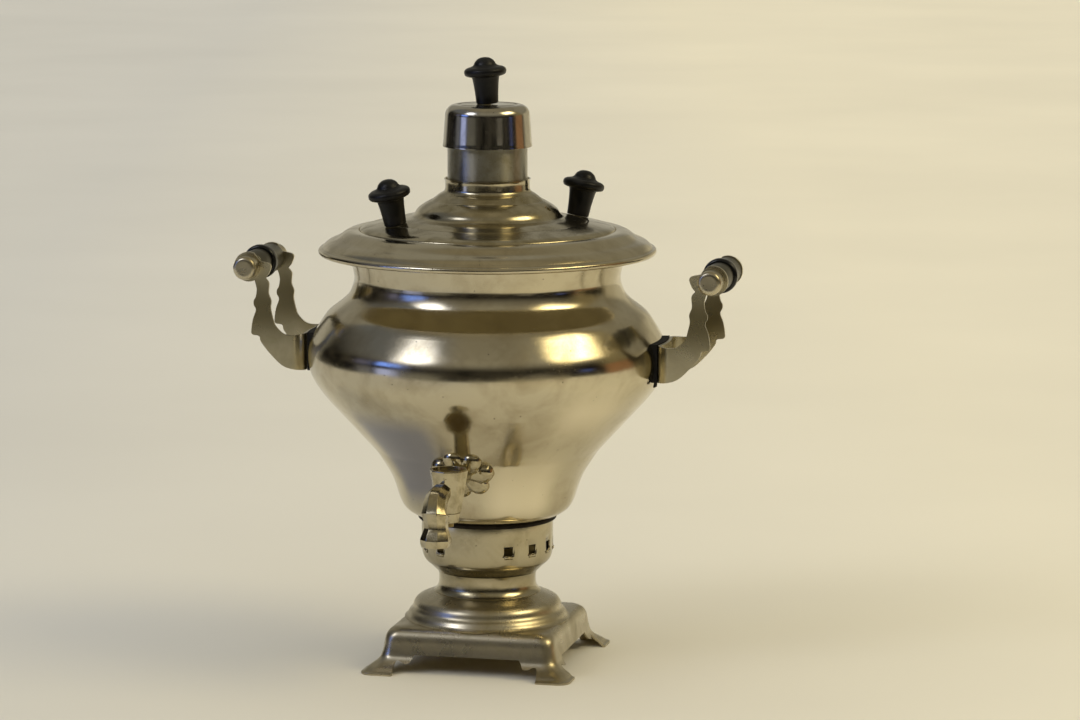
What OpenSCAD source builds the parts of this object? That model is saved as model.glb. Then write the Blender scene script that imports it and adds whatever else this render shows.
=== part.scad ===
// Charcoal-type samovar: spun nickel-plated sheet round a central fire tube.
// Front (tap side) is -Y, the two carrying handles stand out along X, +Z is up.

/* [Sheet and fits] */
// Thickness of the spun and stamped sheet
sheet = 0.8; // [0.6:0.1:1.0]
// Gap left between pieces that lift off one another
lift_gap = 0.3; // [0.2:0.05:0.4]
// Radial running clearance of the pieces that turn
run_gap = 0.06; // [0.02:0.01:0.1]
// Gap between a screw and the hole it passes through
screw_gap = 0.15; // [0.1:0.05:0.3]

/* [Square stand] */
// Side of the square top plate
plate_w = 70; // [68:1:76]
// Side of the square that the four toes span
toe_span = 86; // [80:1:92]
// Height of the top plate above the ground
plate_z = 18.2; // [17:0.2:22]
// Height of the apron's lower edge above the ground
apron_z = 8; // [7:0.5:9]
// Width of one toe along the side of the stand
toe_w = 12; // [10:0.5:14]
// Length of the straight lower edge between the scrolls
apron_w = 45; // [42:0.5:47]
// Rounding radius of the stand's vertical corners
plate_corner = 5; // [3:0.5:7]

/* [Stand dome and neck] */
// Diameter of the dome where it meets the plate
dome_d = 66; // [62:0.5:67]
// Height of the crease between dome and neck
dome_top_z = 29.4; // [28:0.2:31]
// Diameter of the neck at its narrowest
neck_d = 40.4; // [38:0.2:42]
// Height of the neck's upper end, where the vent ring sits
neck_top_z = 38; // [36.5:0.25:39]

/* [Vent ring] */
// Outer diameter of the vent ring
skirt_d = 54.8; // [53:0.2:56]
// Height of the vent ring's upper edge
skirt_top_z = 59.2; // [58:0.2:59.4]
// Side of one square draught hole
vent_w = 4; // [3:0.25:5]
// Height of the draught holes' centres
vent_z = 50.2; // [49:0.2:52]
// Angle between neighbouring draught holes
vent_step = 24; // [20:1:28]
// Angle from the front to the first draught hole
vent_start = 32; // [26:1:36]

/* [Vessel] */
// Diameter of the ring under the vessel
foot_d = 57.8; // [57:0.2:59]
// Height of the vessel's flat bottom
vessel_z = 62.2; // [61:0.2:63]
// Diameter at the lower end of the straight cone
stem_d = 84; // [80:0.5:88]
// Height of the lower end of the straight cone
stem_z = 82.6; // [80:0.2:85]
// Largest diameter of the belly
belly_d = 149; // [144:0.5:154]
// Height of the belly's largest diameter
belly_z = 127.6; // [125:0.2:130]
// Diameter at the shoulder crease
shoulder_d = 136; // [132:0.5:140]
// Height of the shoulder crease
shoulder_z = 144; // [142:0.2:146]
// Diameter of the vessel's neck at its narrowest
throat_d = 110.2; // [106:0.2:114]
// Height of the narrowest place of the vessel's neck
throat_z = 161.8; // [160:0.2:163]

/* [Brim] */
// Outer diameter of the brim
brim_d = 139.8; // [136:0.2:144]
// Height of the middle of the brim's rolled edge
brim_z = 172.2; // [171:0.2:174]
// Height of the brim's inner lip, flush with the lid
lip_z = 181; // [180:0.2:182]
// Diameter of the rolled edge's section
roll_d = 2.6; // [2.2:0.1:3]

/* [Fire tube] */
// Outer diameter of the chimney
tube_d = 33; // [30:0.2:34]
// Outer diameter of the fire box at the bottom of the tube
firebox_d = 40; // [37:0.5:42]
// Height of the tube's lower end
tube_z = 50; // [48:0.5:52]
// Height of the fire box above the vessel's floor
firebox_h = 6; // [3:0.5:12]
// Height over which the fire box narrows to the chimney
firebox_cone_h = 54; // [40:1:70]
// Height of the tube's upper end
tube_top_z = 230.6; // [226:0.2:236]
// Diameter of one hole in the grate
grate_hole_d = 3.6; // [2.5:0.1:4]

/* [Lid] */
// Distance from the inside of the vessel's neck in to the lid's edge
lid_inset = 2.2; // [1.6:0.1:4]
// Height of the collar's upper edge
collar_z = 202.2; // [200:0.2:206]
// Diameter of the lid's raised dome at its foot
lid_dome_d = 62; // [58:0.5:66]
// Depth of the skirt that centres the lid
lid_skirt_h = 4; // [3:0.5:6]
// Diameter of the circle on which the lid knobs stand
lid_knob_pcd = 82; // [80:0.5:86]
// Turn of the lid, counted from the line of the handles
lid_turn = 37; // [0:1:60]
// Outward lean of the lid knobs
lid_knob_lean = 12; // [8:1:14]
// Diameter of the steam hole
steam_d = 2.6; // [2:0.1:3]

/* [Chimney cap] */
// Radial gap between the cap and the chimney
cap_gap = 0.8; // [0.4:0.1:1.2]
// Height of the cap
cap_h = 17.2; // [14:0.2:20]
// Rounding radius of the cap's shoulder
cap_round = 3.7; // [2.5:0.1:5]
// Lean of the cap's loose knob
cap_knob_lean = 4; // [0:0.5:5]

/* [Knobs] */
// Height of a knob
knob_h = 19.1; // [17:0.2:21]
// Diameter of a knob's brim
knob_brim_d = 17.4; // [15:0.2:19]
// Diameter of a knob's stem at its foot
knob_foot_d = 9.1; // [8:0.1:10]
// Diameter of the screw in a knob
knob_screw_d = 2.6; // [2:0.1:3.2]

/* [Handles] */
// Distance from a bracket's web out to its grip's axis
grip_reach = 21.8; // [19:0.2:24]
// Height of a grip's axis
grip_z = 164.5; // [163:0.2:167]
// Thickness of the pad between the belly and a bracket's web
pad_t = 1.5; // [1.1:0.1:2.5]
// Height of the middle of the bracket's web
web_z = 129.2; // [128:0.2:131]
// Height of the bracket's web
web_h = 16; // [14:0.5:18]
// Distance between the middles of a bracket's two arms
arm_gap = 34; // [30:0.5:38]
// Thickness of the bracket's sheet
arm_t = 1.2; // [1:0.1:1.6]
// Outer diameter of the eye at the top of an arm
eye_d = 12.4; // [11.6:0.1:13]
// Diameter of the screws that hold a bracket
handle_screw_d = 3; // [2.5:0.1:3.5]
// Distance between the two screws of a bracket
handle_screw_gap = 14; // [12:0.5:16]

/* [Grips] */
// Diameter of the end caps, which turn in the eyes
grip_cap_d = 9.9; // [9:0.1:10.4]
// Length of an end cap outside its arm
grip_cap_h = 6.6; // [5:0.2:8]
// Diameter of the rod inside a grip
grip_rod_d = 5; // [4:0.2:6]
// Diameter of the sleeves
sleeve_d = 11.6; // [10.8:0.1:12.4]
// Diameter of the disc in the middle of a grip
disc_d = 14.4; // [13:0.2:16]
// Thickness of the disc
disc_t = 4.4; // [3:0.2:6]
// End play that shows at the front of the right grip
grip_play = 2; // [0:0.1:2.4]

/* [Tap] */
// Height of the tap's inlet pipe
tap_z = 85.5; // [84:0.2:87]
// Outer diameter of the inlet pipe
pipe_d = 6.2; // [5.8:0.1:7]
// Length of the inlet pipe inside the vessel
tail_h = 11; // [10:0.5:12]
// Bore of the tap
tap_bore = 3.4; // [2.8:0.1:3.8]
// Distance from the samovar's axis to the barrel's axis
barrel_y = 66.5; // [64:0.5:69]
// Outer diameter of the barrel at its top
barrel_top_d = 15.6; // [15:0.1:17]
// Outer diameter of the barrel at its bottom
barrel_low_d = 10.4; // [10:0.1:11]
// Height of the barrel's top
barrel_top_z = 91; // [90:0.2:93]
// Height of the barrel
barrel_h = 16.5; // [15:0.5:18]
// Wall of the barrel
barrel_wall = 1.2; // [1:0.1:1.5]
// Distance from the barrel's axis to the spout's mouth
spout_reach = 17.6; // [16:0.2:20]
// Height of the spout's mouth
spout_z = 63.6; // [62:0.2:66]
// Diameter of the spout's flared mouth, across its corners
spout_mouth_d = 13; // [12:0.2:14]
// Diameter of the rosette
rosette_d = 24; // [22:0.5:26]
// Number of petals on the rosette
petals = 8; // [6:1:10]

/* [Hidden] */

nickel = "#b3ac98";
dull = "#8d8878";
black = "#1b1b1d";
$fn = 96;
e = 0.01;

// ---- curves ----

// One point of a smooth curve between p1 and p2
function between(p0, p1, p2, p3, t) = 0.5 * (2 * p1 + (p2 - p0) * t
    + (2 * p0 - 5 * p1 + 4 * p2 - p3) * t * t + (3 * p1 - p0 - 3 * p2 + p3) * t * t * t);

// A smooth curve through the points p, with n steps from each to the next
function smooth(p, n = 4) = [for (i = [0 : len(p) - 2], k = [0 : n - 1])
    between(p[max(i - 1, 0)], p[i], p[i + 1], p[min(i + 2, len(p) - 1)], k / n), p[len(p) - 1]];

// The curve p moved sideways by t, to the left of its direction of travel
function shifted(p, t) = [for (i = [0 : len(p) - 1])
    let (d = p[min(i + 1, len(p) - 1)] - p[max(i - 1, 0)]) p[i] + t * [-d.y, d.x] / norm(d)];

function reversed(p) = [for (i = [len(p) - 1 : -1 : 0]) p[i]];
function arc(c, r, a0, a1, n = 6) = [for (i = [0 : n]) c + r * [cos(a0 + (a1 - a0) * i / n),
    sin(a0 + (a1 - a0) * i / n)]];
function mix(a, b, t) = a + (b - a) * t;

// Sheet of thickness t turned round the axis, inside the outline p (drawn upwards)
module spun(p, t = sheet) {
    rotate_extrude() polygon(concat(p, reversed(shifted(p, t))));
}

// Moves a child from the axis to a distance r, at an angle from the front towards +X
module around(angle, r, z = 0) {
    rotate([0, 0, angle]) translate([0, -r, z]) children();
}

// A hexagonal nut of across-flats width w and height h, bored for a screw
module hex_nut(w, h, bore_d) {
    difference() {
        cylinder(d = w / cos(30), h = h, $fn = 6);
        translate([0, 0, -1]) cylinder(d = bore_d, h = h + 2);
    }
}

// ---- square stand: a stamped sheet on four toes ----

plate_half = plate_w / 2;
toe_half = toe_span / 2;
// [half side, height] of the stand's outline, from the toes up to the plate
stand_line = [[toe_half, 0], [toe_half - 0.4, 0.9], [mix(plate_half, toe_half, 0.55), 2.8],
    [mix(plate_half, toe_half, 0.22), 5.2], [plate_half + 0.2, apron_z], [plate_half - 0.5, apron_z + 3.5],
    [plate_half, plate_z - 3], [plate_half - 0.8, plate_z - 1], [plate_half - 2.6, plate_z - e]];

module stand_slice(half, z, inset) {
    side = 2 * (half - inset);
    corner = plate_corner - inset;
    translate([0, 0, z]) linear_extrude(e) offset(r = corner, $fn = 32)
        square(side - 2 * corner, center = true);
}

module stand_loft(inset, drop) {
    for (i = [0 : len(stand_line) - 2]) hull() {
        stand_slice(stand_line[i].x, stand_line[i].y - drop, inset);
        stand_slice(stand_line[i + 1].x, stand_line[i + 1].y - drop, inset);
    }
}

// Outline of the opening between two legs: toe, scroll and the apron's lower edge
module leg_window() {
    inner = toe_half - toe_w;
    half = apron_w / 2;
    scroll_line = smooth([[inner, 1.5], [inner - 0.5, 4], [mix(inner, half, 0.1), 5.8],
        [mix(inner, half, 0.22), 6.3], [mix(inner, half, 0.33), 5.6], [mix(inner, half, 0.46), 4.5],
        [mix(inner, half, 0.64), 4.2], [mix(inner, half, 0.8), 4.9], [mix(inner, half, 0.88), 6.4],
        [half, apron_z]], 3);
    polygon(concat([[inner, -1]], scroll_line,
        [for (p = reversed(scroll_line)) [-p.x, p.y]], [[-inner, -1]]));
}

module stand_base() color(dull) difference() {
    stand_loft(0, 0);
    stand_loft(sheet, sheet);
    translate([0, 0, -toe_half]) cylinder(d = dome_d - 4 + 2 * screw_gap, h = 3 * toe_half);
    for (turn = [0, 90]) rotate([90, 0, turn])
        translate([0, 0, -toe_span]) linear_extrude(2 * toe_span) leg_window();
}

// ---- dome, neck and vent ring ----

dome_r = dome_d / 2;
neck_r = neck_d / 2;
skirt_r = skirt_d / 2;
crease_r = neck_r + 2;
// Radius of the hole in the vent ring's floor
vent_hole_r = neck_r - sheet;

// Points between the neck's foot and the dome's rim, and between the plate and the crease
function stand_dome_at(u, v) = [mix(crease_r, dome_r, u), mix(plate_z, dome_top_z, v)];

dome_line = smooth([[dome_r + 0.4, plate_z + sheet], stand_dome_at(1, 0.13), stand_dome_at(0.98, 0.22),
    stand_dome_at(0.96, 0.3), stand_dome_at(0.9, 0.36), stand_dome_at(0.85, 0.41),
    stand_dome_at(0.84, 0.48), stand_dome_at(0.78, 0.61), stand_dome_at(0.55, 0.75),
    stand_dome_at(0.28, 0.9), [crease_r - 1.6, dome_top_z]]);

module stand_dome() color(dull) {
    spun(dome_line);
    // foot that lies on the plate, with a spigot through the plate's hole
    rotate_extrude() polygon([[dome_r + 0.6, plate_z], [dome_r + 0.6, plate_z + sheet],
        [dome_r - 1, plate_z + sheet], [dome_r - 2 - sheet, plate_z + sheet / 2],
        [dome_r - 2 - sheet, plate_z - 3], [dome_r - 2, plate_z - 3], [dome_r - 2, plate_z]]);
}

neck_line = smooth([[crease_r, dome_top_z - 0.1], [neck_r + 0.9, dome_top_z + 1.1],
    [neck_r + 0.1, mix(dome_top_z, neck_top_z, 0.45)], [neck_r, mix(dome_top_z, neck_top_z, 0.72)],
    [neck_r + 0.5, neck_top_z]]);

module stand_neck() color(nickel) {
    // flared foot and top edge, cut level where they meet the dome and the vent ring
    difference() {
        spun(neck_line);
        translate([0, 0, dome_top_z - 2]) cylinder(r = dome_r, h = 2);
        translate([0, 0, neck_top_z]) cylinder(r = dome_r, h = 2);
    }
    // spigot inside the dome's hole and spigot inside the vent ring
    rotate_extrude() polygon([[neck_r - sheet, dome_top_z - 2], [neck_r, dome_top_z - 2],
        [neck_r + 0.1, dome_top_z + 3], [neck_r - sheet, dome_top_z + 3]]);
    rotate_extrude() polygon([[vent_hole_r - 1, neck_top_z - 3], [neck_r - 0.4, neck_top_z - 3],
        [neck_r - 0.4, neck_top_z - sheet], [vent_hole_r - screw_gap, neck_top_z],
        [vent_hole_r - screw_gap, neck_top_z + 2.4], [vent_hole_r - 1, neck_top_z + 2.4]]);
}

skirt_line = concat([[vent_hole_r, neck_top_z], [neck_r + 0.9, neck_top_z]],
    smooth([[mix(neck_r, skirt_r, 0.45), neck_top_z + 2.7], [mix(neck_r, skirt_r, 0.76), neck_top_z + 4.7],
    [mix(neck_r, skirt_r, 0.93), neck_top_z + 6.8], [skirt_r, neck_top_z + 9.6]]),
    [[skirt_r, skirt_top_z]]);

module vent_ring() color(nickel) difference() {
    spun(skirt_line);
    for (side = [-1, 1], i = [0 : 2], back = [0, 1]) mirror([0, back, 0])
        around(side * (vent_start + i * vent_step), skirt_r, vent_z) cube(vent_w, center = true);
}

// ---- brim: a spun plate on the neck, with a rolled edge and a ledge for the lid ----

throat_r = throat_d / 2;
brim_r = brim_d / 2;
lid_r = throat_r - lid_inset;
lip_r = lid_r + lift_gap;
ledge_z = lip_z - 1;
well_r = lid_r - 2.6;
roll_r = roll_d / 2;

function brim_at(u, v) = [mix(lip_r, brim_r, u), mix(brim_z, lip_z, v)];

brim_line = smooth([[brim_r - roll_r, brim_z + roll_r], [brim_r - 3.9, brim_z + 3.3],
    brim_at(0.55, 0.6), brim_at(0.38, 0.82), brim_at(0.2, 1.01), brim_at(0.08, 1.03), [lip_r, lip_z]]);

brim_under = [for (p = reversed(shifted(brim_line, sheet))) if (p.x > lip_r + sheet) p];

module brim() color(nickel) {
    rotate_extrude() polygon(concat(brim_line, [[lip_r, ledge_z], [well_r - sheet, ledge_z],
        [well_r - sheet, ledge_z - 7], [well_r, ledge_z - 7], [well_r, ledge_z - sheet],
        [lip_r + sheet, ledge_z - sheet]], brim_under));
    translate([0, 0, brim_z]) rotate_extrude() translate([brim_r - roll_r, 0]) circle(r = roll_r, $fn = 32);
}

// ---- vessel ----

belly_r = belly_d / 2;
stem_r = stem_d / 2;
shoulder_r = shoulder_d / 2;
foot_r = foot_d / 2;
spigot_r = skirt_r - sheet - screw_gap;
cone_r = mix(stem_r, belly_r, 0.74);
cone_z = mix(stem_z, belly_z, 0.64);
neck_top_r = throat_r + 1.8;

// Points given as shares of the way between two named places of the outline
function bowl_at(u, rise) = [mix(foot_r, stem_r, u), vessel_z + rise];
function belly_at(drop, v) = [belly_r - drop, mix(cone_z, belly_z, v)];
function bulge_at(drop, v) = [belly_r - drop, mix(belly_z, shoulder_z, v)];
function shoulder_at(u, v) = [mix(throat_r, shoulder_r, u), mix(shoulder_z, throat_z, v)];

bowl_line = concat([[spigot_r, vessel_z]], smooth([[foot_r + 0.6, vessel_z], bowl_at(0.34, 2.1),
    bowl_at(0.52, 5.2), bowl_at(0.64, 10.2), bowl_at(0.82, 15.6), [stem_r, stem_z]]));
belly_line = smooth([[cone_r, cone_z], belly_at(4.9, 0.28), belly_at(1.6, 0.64),
    [belly_r, belly_z], bulge_at(0.9, 0.45), bulge_at(3.1, 0.72), [shoulder_r, shoulder_z]], 5);
shoulder_line = smooth([[shoulder_r, shoulder_z], shoulder_at(0.88, 0.14), shoulder_at(0.7, 0.25),
    shoulder_at(0.4, 0.43), shoulder_at(0.16, 0.62), shoulder_at(0.03, 0.82), [throat_r, throat_z],
    [throat_r + 0.6, throat_z + 3.4], [neck_top_r, throat_z + 8]]);
// The neck ends just under the brim
neck_end_z = lookup(neck_top_r, brim_under) - lift_gap;
vessel_line = concat(bowl_line, belly_line, [for (i = [1 : len(shoulder_line) - 1]) shoulder_line[i]],
    [[neck_top_r, neck_end_z]]);
vessel_inner = shifted(vessel_line, sheet);
// The seam between the two spun halves lies at the shoulder crease
seam = len(bowl_line) + len(belly_line) - 1;

// The space that the vessel's outside (or its inside) encloses, for pieces that lie against it
module vessel_solid(line) {
    rotate_extrude($fn = 240) polygon(concat([[0, line[0].y]], line, [[0, line[len(line) - 1].y]]));
}

// The part of the vessel's sheet between two points of its outline
module vessel_sheet(first, last) rotate_extrude()
    polygon(concat([for (i = [first : last]) vessel_line[i]],
        [for (i = [last : -1 : first]) vessel_inner[i]]));

module vessel_neck() color(nickel) vessel_sheet(seam, len(vessel_line) - 1);

module vessel() color(nickel) difference() {
    vessel_sheet(0, seam);
    around(0, 0, tap_z) rotate([90, 0, 0]) cylinder(d = pipe_d + 2 * screw_gap, h = belly_r);
    for (side = [-1, 1]) handle_screw_places(side)
        cylinder(d = handle_screw_d + 2 * screw_gap, h = 20, center = true);
}

module foot_ring() color(nickel)
    translate([0, 0, (skirt_top_z + vessel_z) / 2 + 0.3])
    rotate_extrude() translate([foot_r - 1.1, 0]) circle(r = 1.1, $fn = 32);

floor_top = vessel_z + 2 * sheet;
// How far the floor's spigot reaches down inside the vent ring
spigot_h = 5;

module vessel_floor() color(dull) rotate_extrude()
    polygon([[firebox_d / 2, floor_top - sheet], [spigot_r - sheet, floor_top - sheet],
        [spigot_r - sheet, skirt_top_z - spigot_h], [spigot_r, skirt_top_z - spigot_h],
        [spigot_r, floor_top - sheet], [foot_r - 0.2, floor_top - sheet], [foot_r - 0.2, floor_top],
        [firebox_d / 2, floor_top]]);

// ---- fire tube and grate ----

tube_r = tube_d / 2;
firebox_r = firebox_d / 2;

firebox_top_z = floor_top + firebox_h;
chimney_low_z = firebox_top_z + firebox_cone_h;
grate_rim = 2.6;

module fire_tube() color("#77756c") rotate_extrude()
    polygon([[firebox_r - grate_rim, tube_z], [firebox_r, tube_z], [firebox_r, firebox_top_z],
        [tube_r, chimney_low_z], [tube_r, tube_top_z], [tube_r - sheet, tube_top_z],
        [tube_r - sheet, chimney_low_z], [firebox_r - sheet, firebox_top_z],
        [firebox_r - sheet, tube_z + sheet], [firebox_r - grate_rim, tube_z + sheet]]);

module grate() color("#4d4a45") translate([0, 0, tube_z + sheet]) difference() {
    cylinder(r = firebox_r - sheet - lift_gap, h = 1.2);
    translate([0, 0, -1]) cylinder(d = grate_hole_d, h = 4);
    for (ring = [1, 2], i = [0 : 6 * ring - 1]) rotate([0, 0, i * 60 / ring])
        translate([ring * 6.2, 0, -1]) cylinder(d = grate_hole_d, h = 4);
}

// ---- handles: a U-shaped stamped bracket, a pad, and a loose turned grip ----

// Distances from the samovar's axis to the brackets' webs and to the grips' axes
web_x = belly_r + pad_t;
grip_x = web_x + grip_reach;
arm_in = (arm_gap - arm_t) / 2;
arm_out = (arm_gap + arm_t) / 2;
eye_bore_r = grip_cap_d / 2 + run_gap;

// Places a child with its +Z along the outward X axis at each bracket screw
module handle_screw_places(side) {
    for (y = [-1, 1]) translate([side * web_x, y * handle_screw_gap / 2, web_z])
        rotate([0, side * 90, 0]) children();
}

// Point of a bracket's side view: shares of the way from the web to the grip's axis
function arm_at(u, v) = [mix(web_x, grip_x, u), mix(web_z, grip_z, v)];

// Side view of a bracket: [distance from the axis, height]
module bracket_outline() {
    outer = smooth([[web_x - 1, web_z - web_h / 2], arm_at(0.28, -0.18), arm_at(0.56, -0.04),
        arm_at(0.76, 0.11), arm_at(0.8, 0.18), arm_at(0.94, 0.2), arm_at(0.95, 0.27), arm_at(0.92, 0.38),
        arm_at(0.86, 0.49), arm_at(0.9, 0.55), arm_at(0.9, 0.6), arm_at(0.86, 0.65), arm_at(0.84, 0.74),
        arm_at(0.88, 0.87)]);
    inner = smooth([arm_at(0.67, 0.87), arm_at(0.6, 0.81), arm_at(0.61, 0.69), arm_at(0.56, 0.6),
        arm_at(0.57, 0.51), arm_at(0.52, 0.37), arm_at(0.47, 0.3), arm_at(0.33, 0.22),
        arm_at(0.15, 0.2), [web_x - 1, web_z + web_h / 2]]);
    // small horn that points back to the body, at the height of the eye
    horn = [for (p = [[0.4, 0.9], [0.8, 0.4], [1.3, 0.3], [1.5, 0.2], [1.56, -0.03], [1.38, -0.48]])
        [grip_x - p.x * eye_d / 2, grip_z + p.y * eye_d / 2]];
    polygon(concat(outer, horn, inner));
    translate([grip_x, grip_z]) circle(d = eye_d);
}

// Plan view of a bracket: a web with rounded corners and two arms
module bracket_plan() {
    bend = 2.4;
    difference() {
        union() {
            translate([web_x + bend, 0]) square([2 * bend, arm_gap + arm_t], center = true);
            translate([web_x, -arm_out + bend]) square([bend, 2 * arm_out - 2 * bend]);
            translate([web_x + bend, -arm_out]) square([grip_x - web_x + 12, 2 * arm_out]);
        }
        for (s = [-1, 1]) translate([web_x, s * arm_out]) difference() {
            square(2 * bend, center = true);
            translate([bend, -s * bend]) circle(r = bend);
        }
        translate([web_x + arm_t, -arm_in]) square([grip_x, 2 * arm_in]);
    }
}

module handle_bracket() difference() {
    intersection() {
        translate([0, 0, web_z - web_h]) linear_extrude(grip_z - web_z + web_h + 20) bracket_plan();
        rotate([90, 0, 0]) linear_extrude(arm_gap + 10, center = true) bracket_outline();
    }
    translate([grip_x, 0, grip_z]) rotate([90, 0, 0])
        cylinder(r = eye_bore_r, h = arm_gap + 10, center = true);
    handle_screw_places(1) cylinder(d = handle_screw_d + 2 * screw_gap, h = 20, center = true);
}

module left_handle_bracket() color(nickel) mirror([1, 0, 0]) handle_bracket();
module right_handle_bracket() color(nickel) handle_bracket();

// How far a pad's edges lie inside the bracket's web
pad_margin = 0.8;

module handle_pad(side) difference() {
    translate([side * web_x / 2, 0, web_z])
        cube([web_x, 2 * (arm_out - 2 * pad_margin), web_h - 2 * pad_margin], center = true);
    vessel_solid(vessel_line);
    handle_screw_places(side) cylinder(d = handle_screw_d + 2 * screw_gap, h = 20, center = true);
}

module left_handle_pad() color(black) handle_pad(-1);
module right_handle_pad() color(black) handle_pad(1);

head_d = handle_screw_d * 1.9;
nut_w = handle_screw_d * 1.83;
// The nuts' flat faces stop just short of the round wall inside
nut_face = web_x + lift_gap
    - sqrt(pow(belly_r - sheet, 2) - pow((handle_screw_gap + nut_w) / 2, 2));

module handle_screws(side) handle_screw_places(side) {
    translate([0, 0, -nut_face - 3]) cylinder(d = handle_screw_d, h = nut_face + 3 + arm_t + 0.2);
    translate([0, 0, arm_t]) rotate_extrude() polygon(concat([[0, 0], [head_d / 2, 0]],
        arc([head_d / 2 - 1.4, 0.4], 1.4, 0, 90), [[0, 1.8]]));
}

module left_handle_screws() color(nickel) handle_screws(-1);
module right_handle_screws() color(nickel) handle_screws(1);

module handle_nuts(side) handle_screw_places(side)
    translate([0, 0, -nut_face - 2.4]) hex_nut(nut_w, 2.4, handle_screw_d + 0.02);

module left_handle_nuts() color(dull) handle_nuts(-1);
module right_handle_nuts() color(dull) handle_nuts(1);

// Puts a child on the grip's axis, with its +Z to the back
module on_grip(side) translate([side * grip_x, 0, grip_z]) rotate([-90, 0, 0]) children();

// How far the grip has slid to the front in its eyes
function grip_shift(side) = side > 0 ? grip_play : 0;

module grip_rod(side) on_grip(side) translate([0, 0, -arm_out - grip_shift(side) - 4])
    cylinder(d = grip_rod_d, h = 2 * arm_out + grip_shift(side) + 8);

// Solid part of an end cap, in front of the rod
cap_nose = 1.6;

// One end cap: it passes through the eye and has a rounded nose
module grip_cap(length) difference() {
    rotate_extrude() polygon(concat([[0, 0], [grip_cap_d / 2, 0]],
        arc([grip_cap_d / 2 - 2, length - 2], 2, 0, 90), [[0, length]]));
    translate([0, 0, -1]) cylinder(d = grip_rod_d, h = length - cap_nose + 1);
}

module grip_caps(side) on_grip(side) {
    translate([0, 0, arm_in]) grip_cap(arm_t + lift_gap + grip_cap_h);
    mirror([0, 0, 1]) translate([0, 0, arm_in])
        grip_cap(arm_t + lift_gap + grip_cap_h + grip_shift(side));
}

module grip_sleeves(side) on_grip(side) for (end = [0, 1]) mirror([0, 0, end])
    translate([0, 0, disc_t / 2]) difference() {
        cylinder(d = sleeve_d, h = arm_in - disc_t / 2 - lift_gap);
        translate([0, 0, -1]) cylinder(d = grip_rod_d, h = arm_gap);
        translate([0, 0, arm_in - disc_t / 2 - lift_gap - 0.001]) cylinder(d = grip_rod_d + 1, h = 1);
    }

module grip_disc(side) on_grip(side) difference() {
    rotate_extrude() polygon(concat(arc([disc_d / 2 - 1.2, -disc_t / 2 + 1.2], 1.2, -90, 0),
        arc([disc_d / 2 - 1.2, disc_t / 2 - 1.2], 1.2, 0, 90), [[0, disc_t / 2], [0, -disc_t / 2]]));
    cylinder(d = grip_rod_d, h = 2 * disc_t, center = true);
}

module left_grip_rod() color(nickel) grip_rod(-1);
module left_grip_caps() color(nickel) grip_caps(-1);
module left_grip_sleeves() color(dull) grip_sleeves(-1);
module left_grip_disc() color(black) grip_disc(-1);
module right_grip_rod() color(nickel) grip_rod(1);
module right_grip_caps() color(nickel) grip_caps(1);
module right_grip_sleeves() color(dull) grip_sleeves(1);
module right_grip_disc() color(black) grip_disc(1);

// ---- tap ----

barrel_low_z = barrel_top_z - barrel_h;
// How fast the barrel's radius grows with height
taper = (barrel_top_d - barrel_low_d) / 2 / barrel_h;
plug_top_r = barrel_top_d / 2 - barrel_wall - run_gap;
plug_low_r = barrel_low_d / 2 - barrel_wall - run_gap;
wall_r = mix(stem_r, cone_r, (tap_z - stem_z) / (cone_z - stem_z));
wall_tilt = atan((cone_r - stem_r) / (cone_z - stem_z));

// Puts a child on the barrel's axis
module on_barrel() translate([0, -barrel_y, 0]) children();

module tap_rosette() color(nickel) difference() {
    translate([0, -wall_r, tap_z]) rotate([90 + wall_tilt, 0, 0]) {
        petal_r = rosette_d * 0.195;
        // how far the petals and the middle reach back, to be cut off by the wall
        back = 1.5 * petal_r;
        for (i = [0 : petals - 1]) rotate([0, 0, (i + 0.5) * 360 / petals])
            translate([rosette_d / 2 - petal_r, 0, 0]) {
                translate([0, 0, -2]) sphere(r = petal_r, $fn = 48);
                translate([0, 0, -back]) cylinder(r = petal_r, h = back - 2, $fn = 48);
            }
        translate([0, 0, -back]) cylinder(d = rosette_d * 0.6, h = back + rosette_d / 10);
    }
    vessel_solid(vessel_line);
    translate([0, 0, tap_z]) rotate([90, 0, 0]) cylinder(d = pipe_d + 2 * run_gap, h = barrel_y);
}

tail_y = wall_r - tail_h;

module tap_body() color(nickel) difference() {
    union() {
        translate([0, -tail_y, tap_z]) rotate([90, 0, 0]) cylinder(d = pipe_d, h = barrel_y - tail_y);
        on_barrel() translate([0, 0, barrel_low_z]) rotate_extrude()
            polygon([[0, 0], [barrel_low_d / 2, 0], [barrel_top_d / 2 - 1.6 * taper, barrel_h - 1.6],
                [barrel_top_d / 2 + 0.3, barrel_h - 1.1], [barrel_top_d / 2 + 0.3, barrel_h - 0.2],
                [barrel_top_d / 2 + 0.1, barrel_h], [0, barrel_h]]);
    }
    on_barrel() translate([0, 0, barrel_low_z]) cylinder(r1 = barrel_low_d / 2 - barrel_wall,
        r2 = barrel_top_d / 2 - barrel_wall, h = barrel_h);
    // tapered seat runs out past both ends
    on_barrel() translate([0, 0, barrel_low_z - 1]) cylinder(r = barrel_low_d / 2 - barrel_wall, h = 1.01);
    translate([0, -tail_y + 1, tap_z]) rotate([90, 0, 0]) cylinder(d = tap_bore, h = barrel_y + 20);
}

// Centre line of the spout: [distance past the barrel's axis, height, radius]
spout_line = [[5, tap_z, 3.4], [9.6, tap_z - 1, 4], [13.6, tap_z - 3.8, 4.7], [16.2, tap_z - 7.4, 4.9],
    [17, tap_z - 9.2, 5.5], [17, tap_z - 10.4, 4.6], [17, tap_z - 12.6, 5.2], [17, tap_z - 15, 4.7],
    [spout_reach - 0.2, spout_z + 4, 5.3], [spout_reach, spout_z + 1.6, spout_mouth_d / 2],
    [spout_reach, spout_z, spout_mouth_d / 2 - 0.3]];

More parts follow.
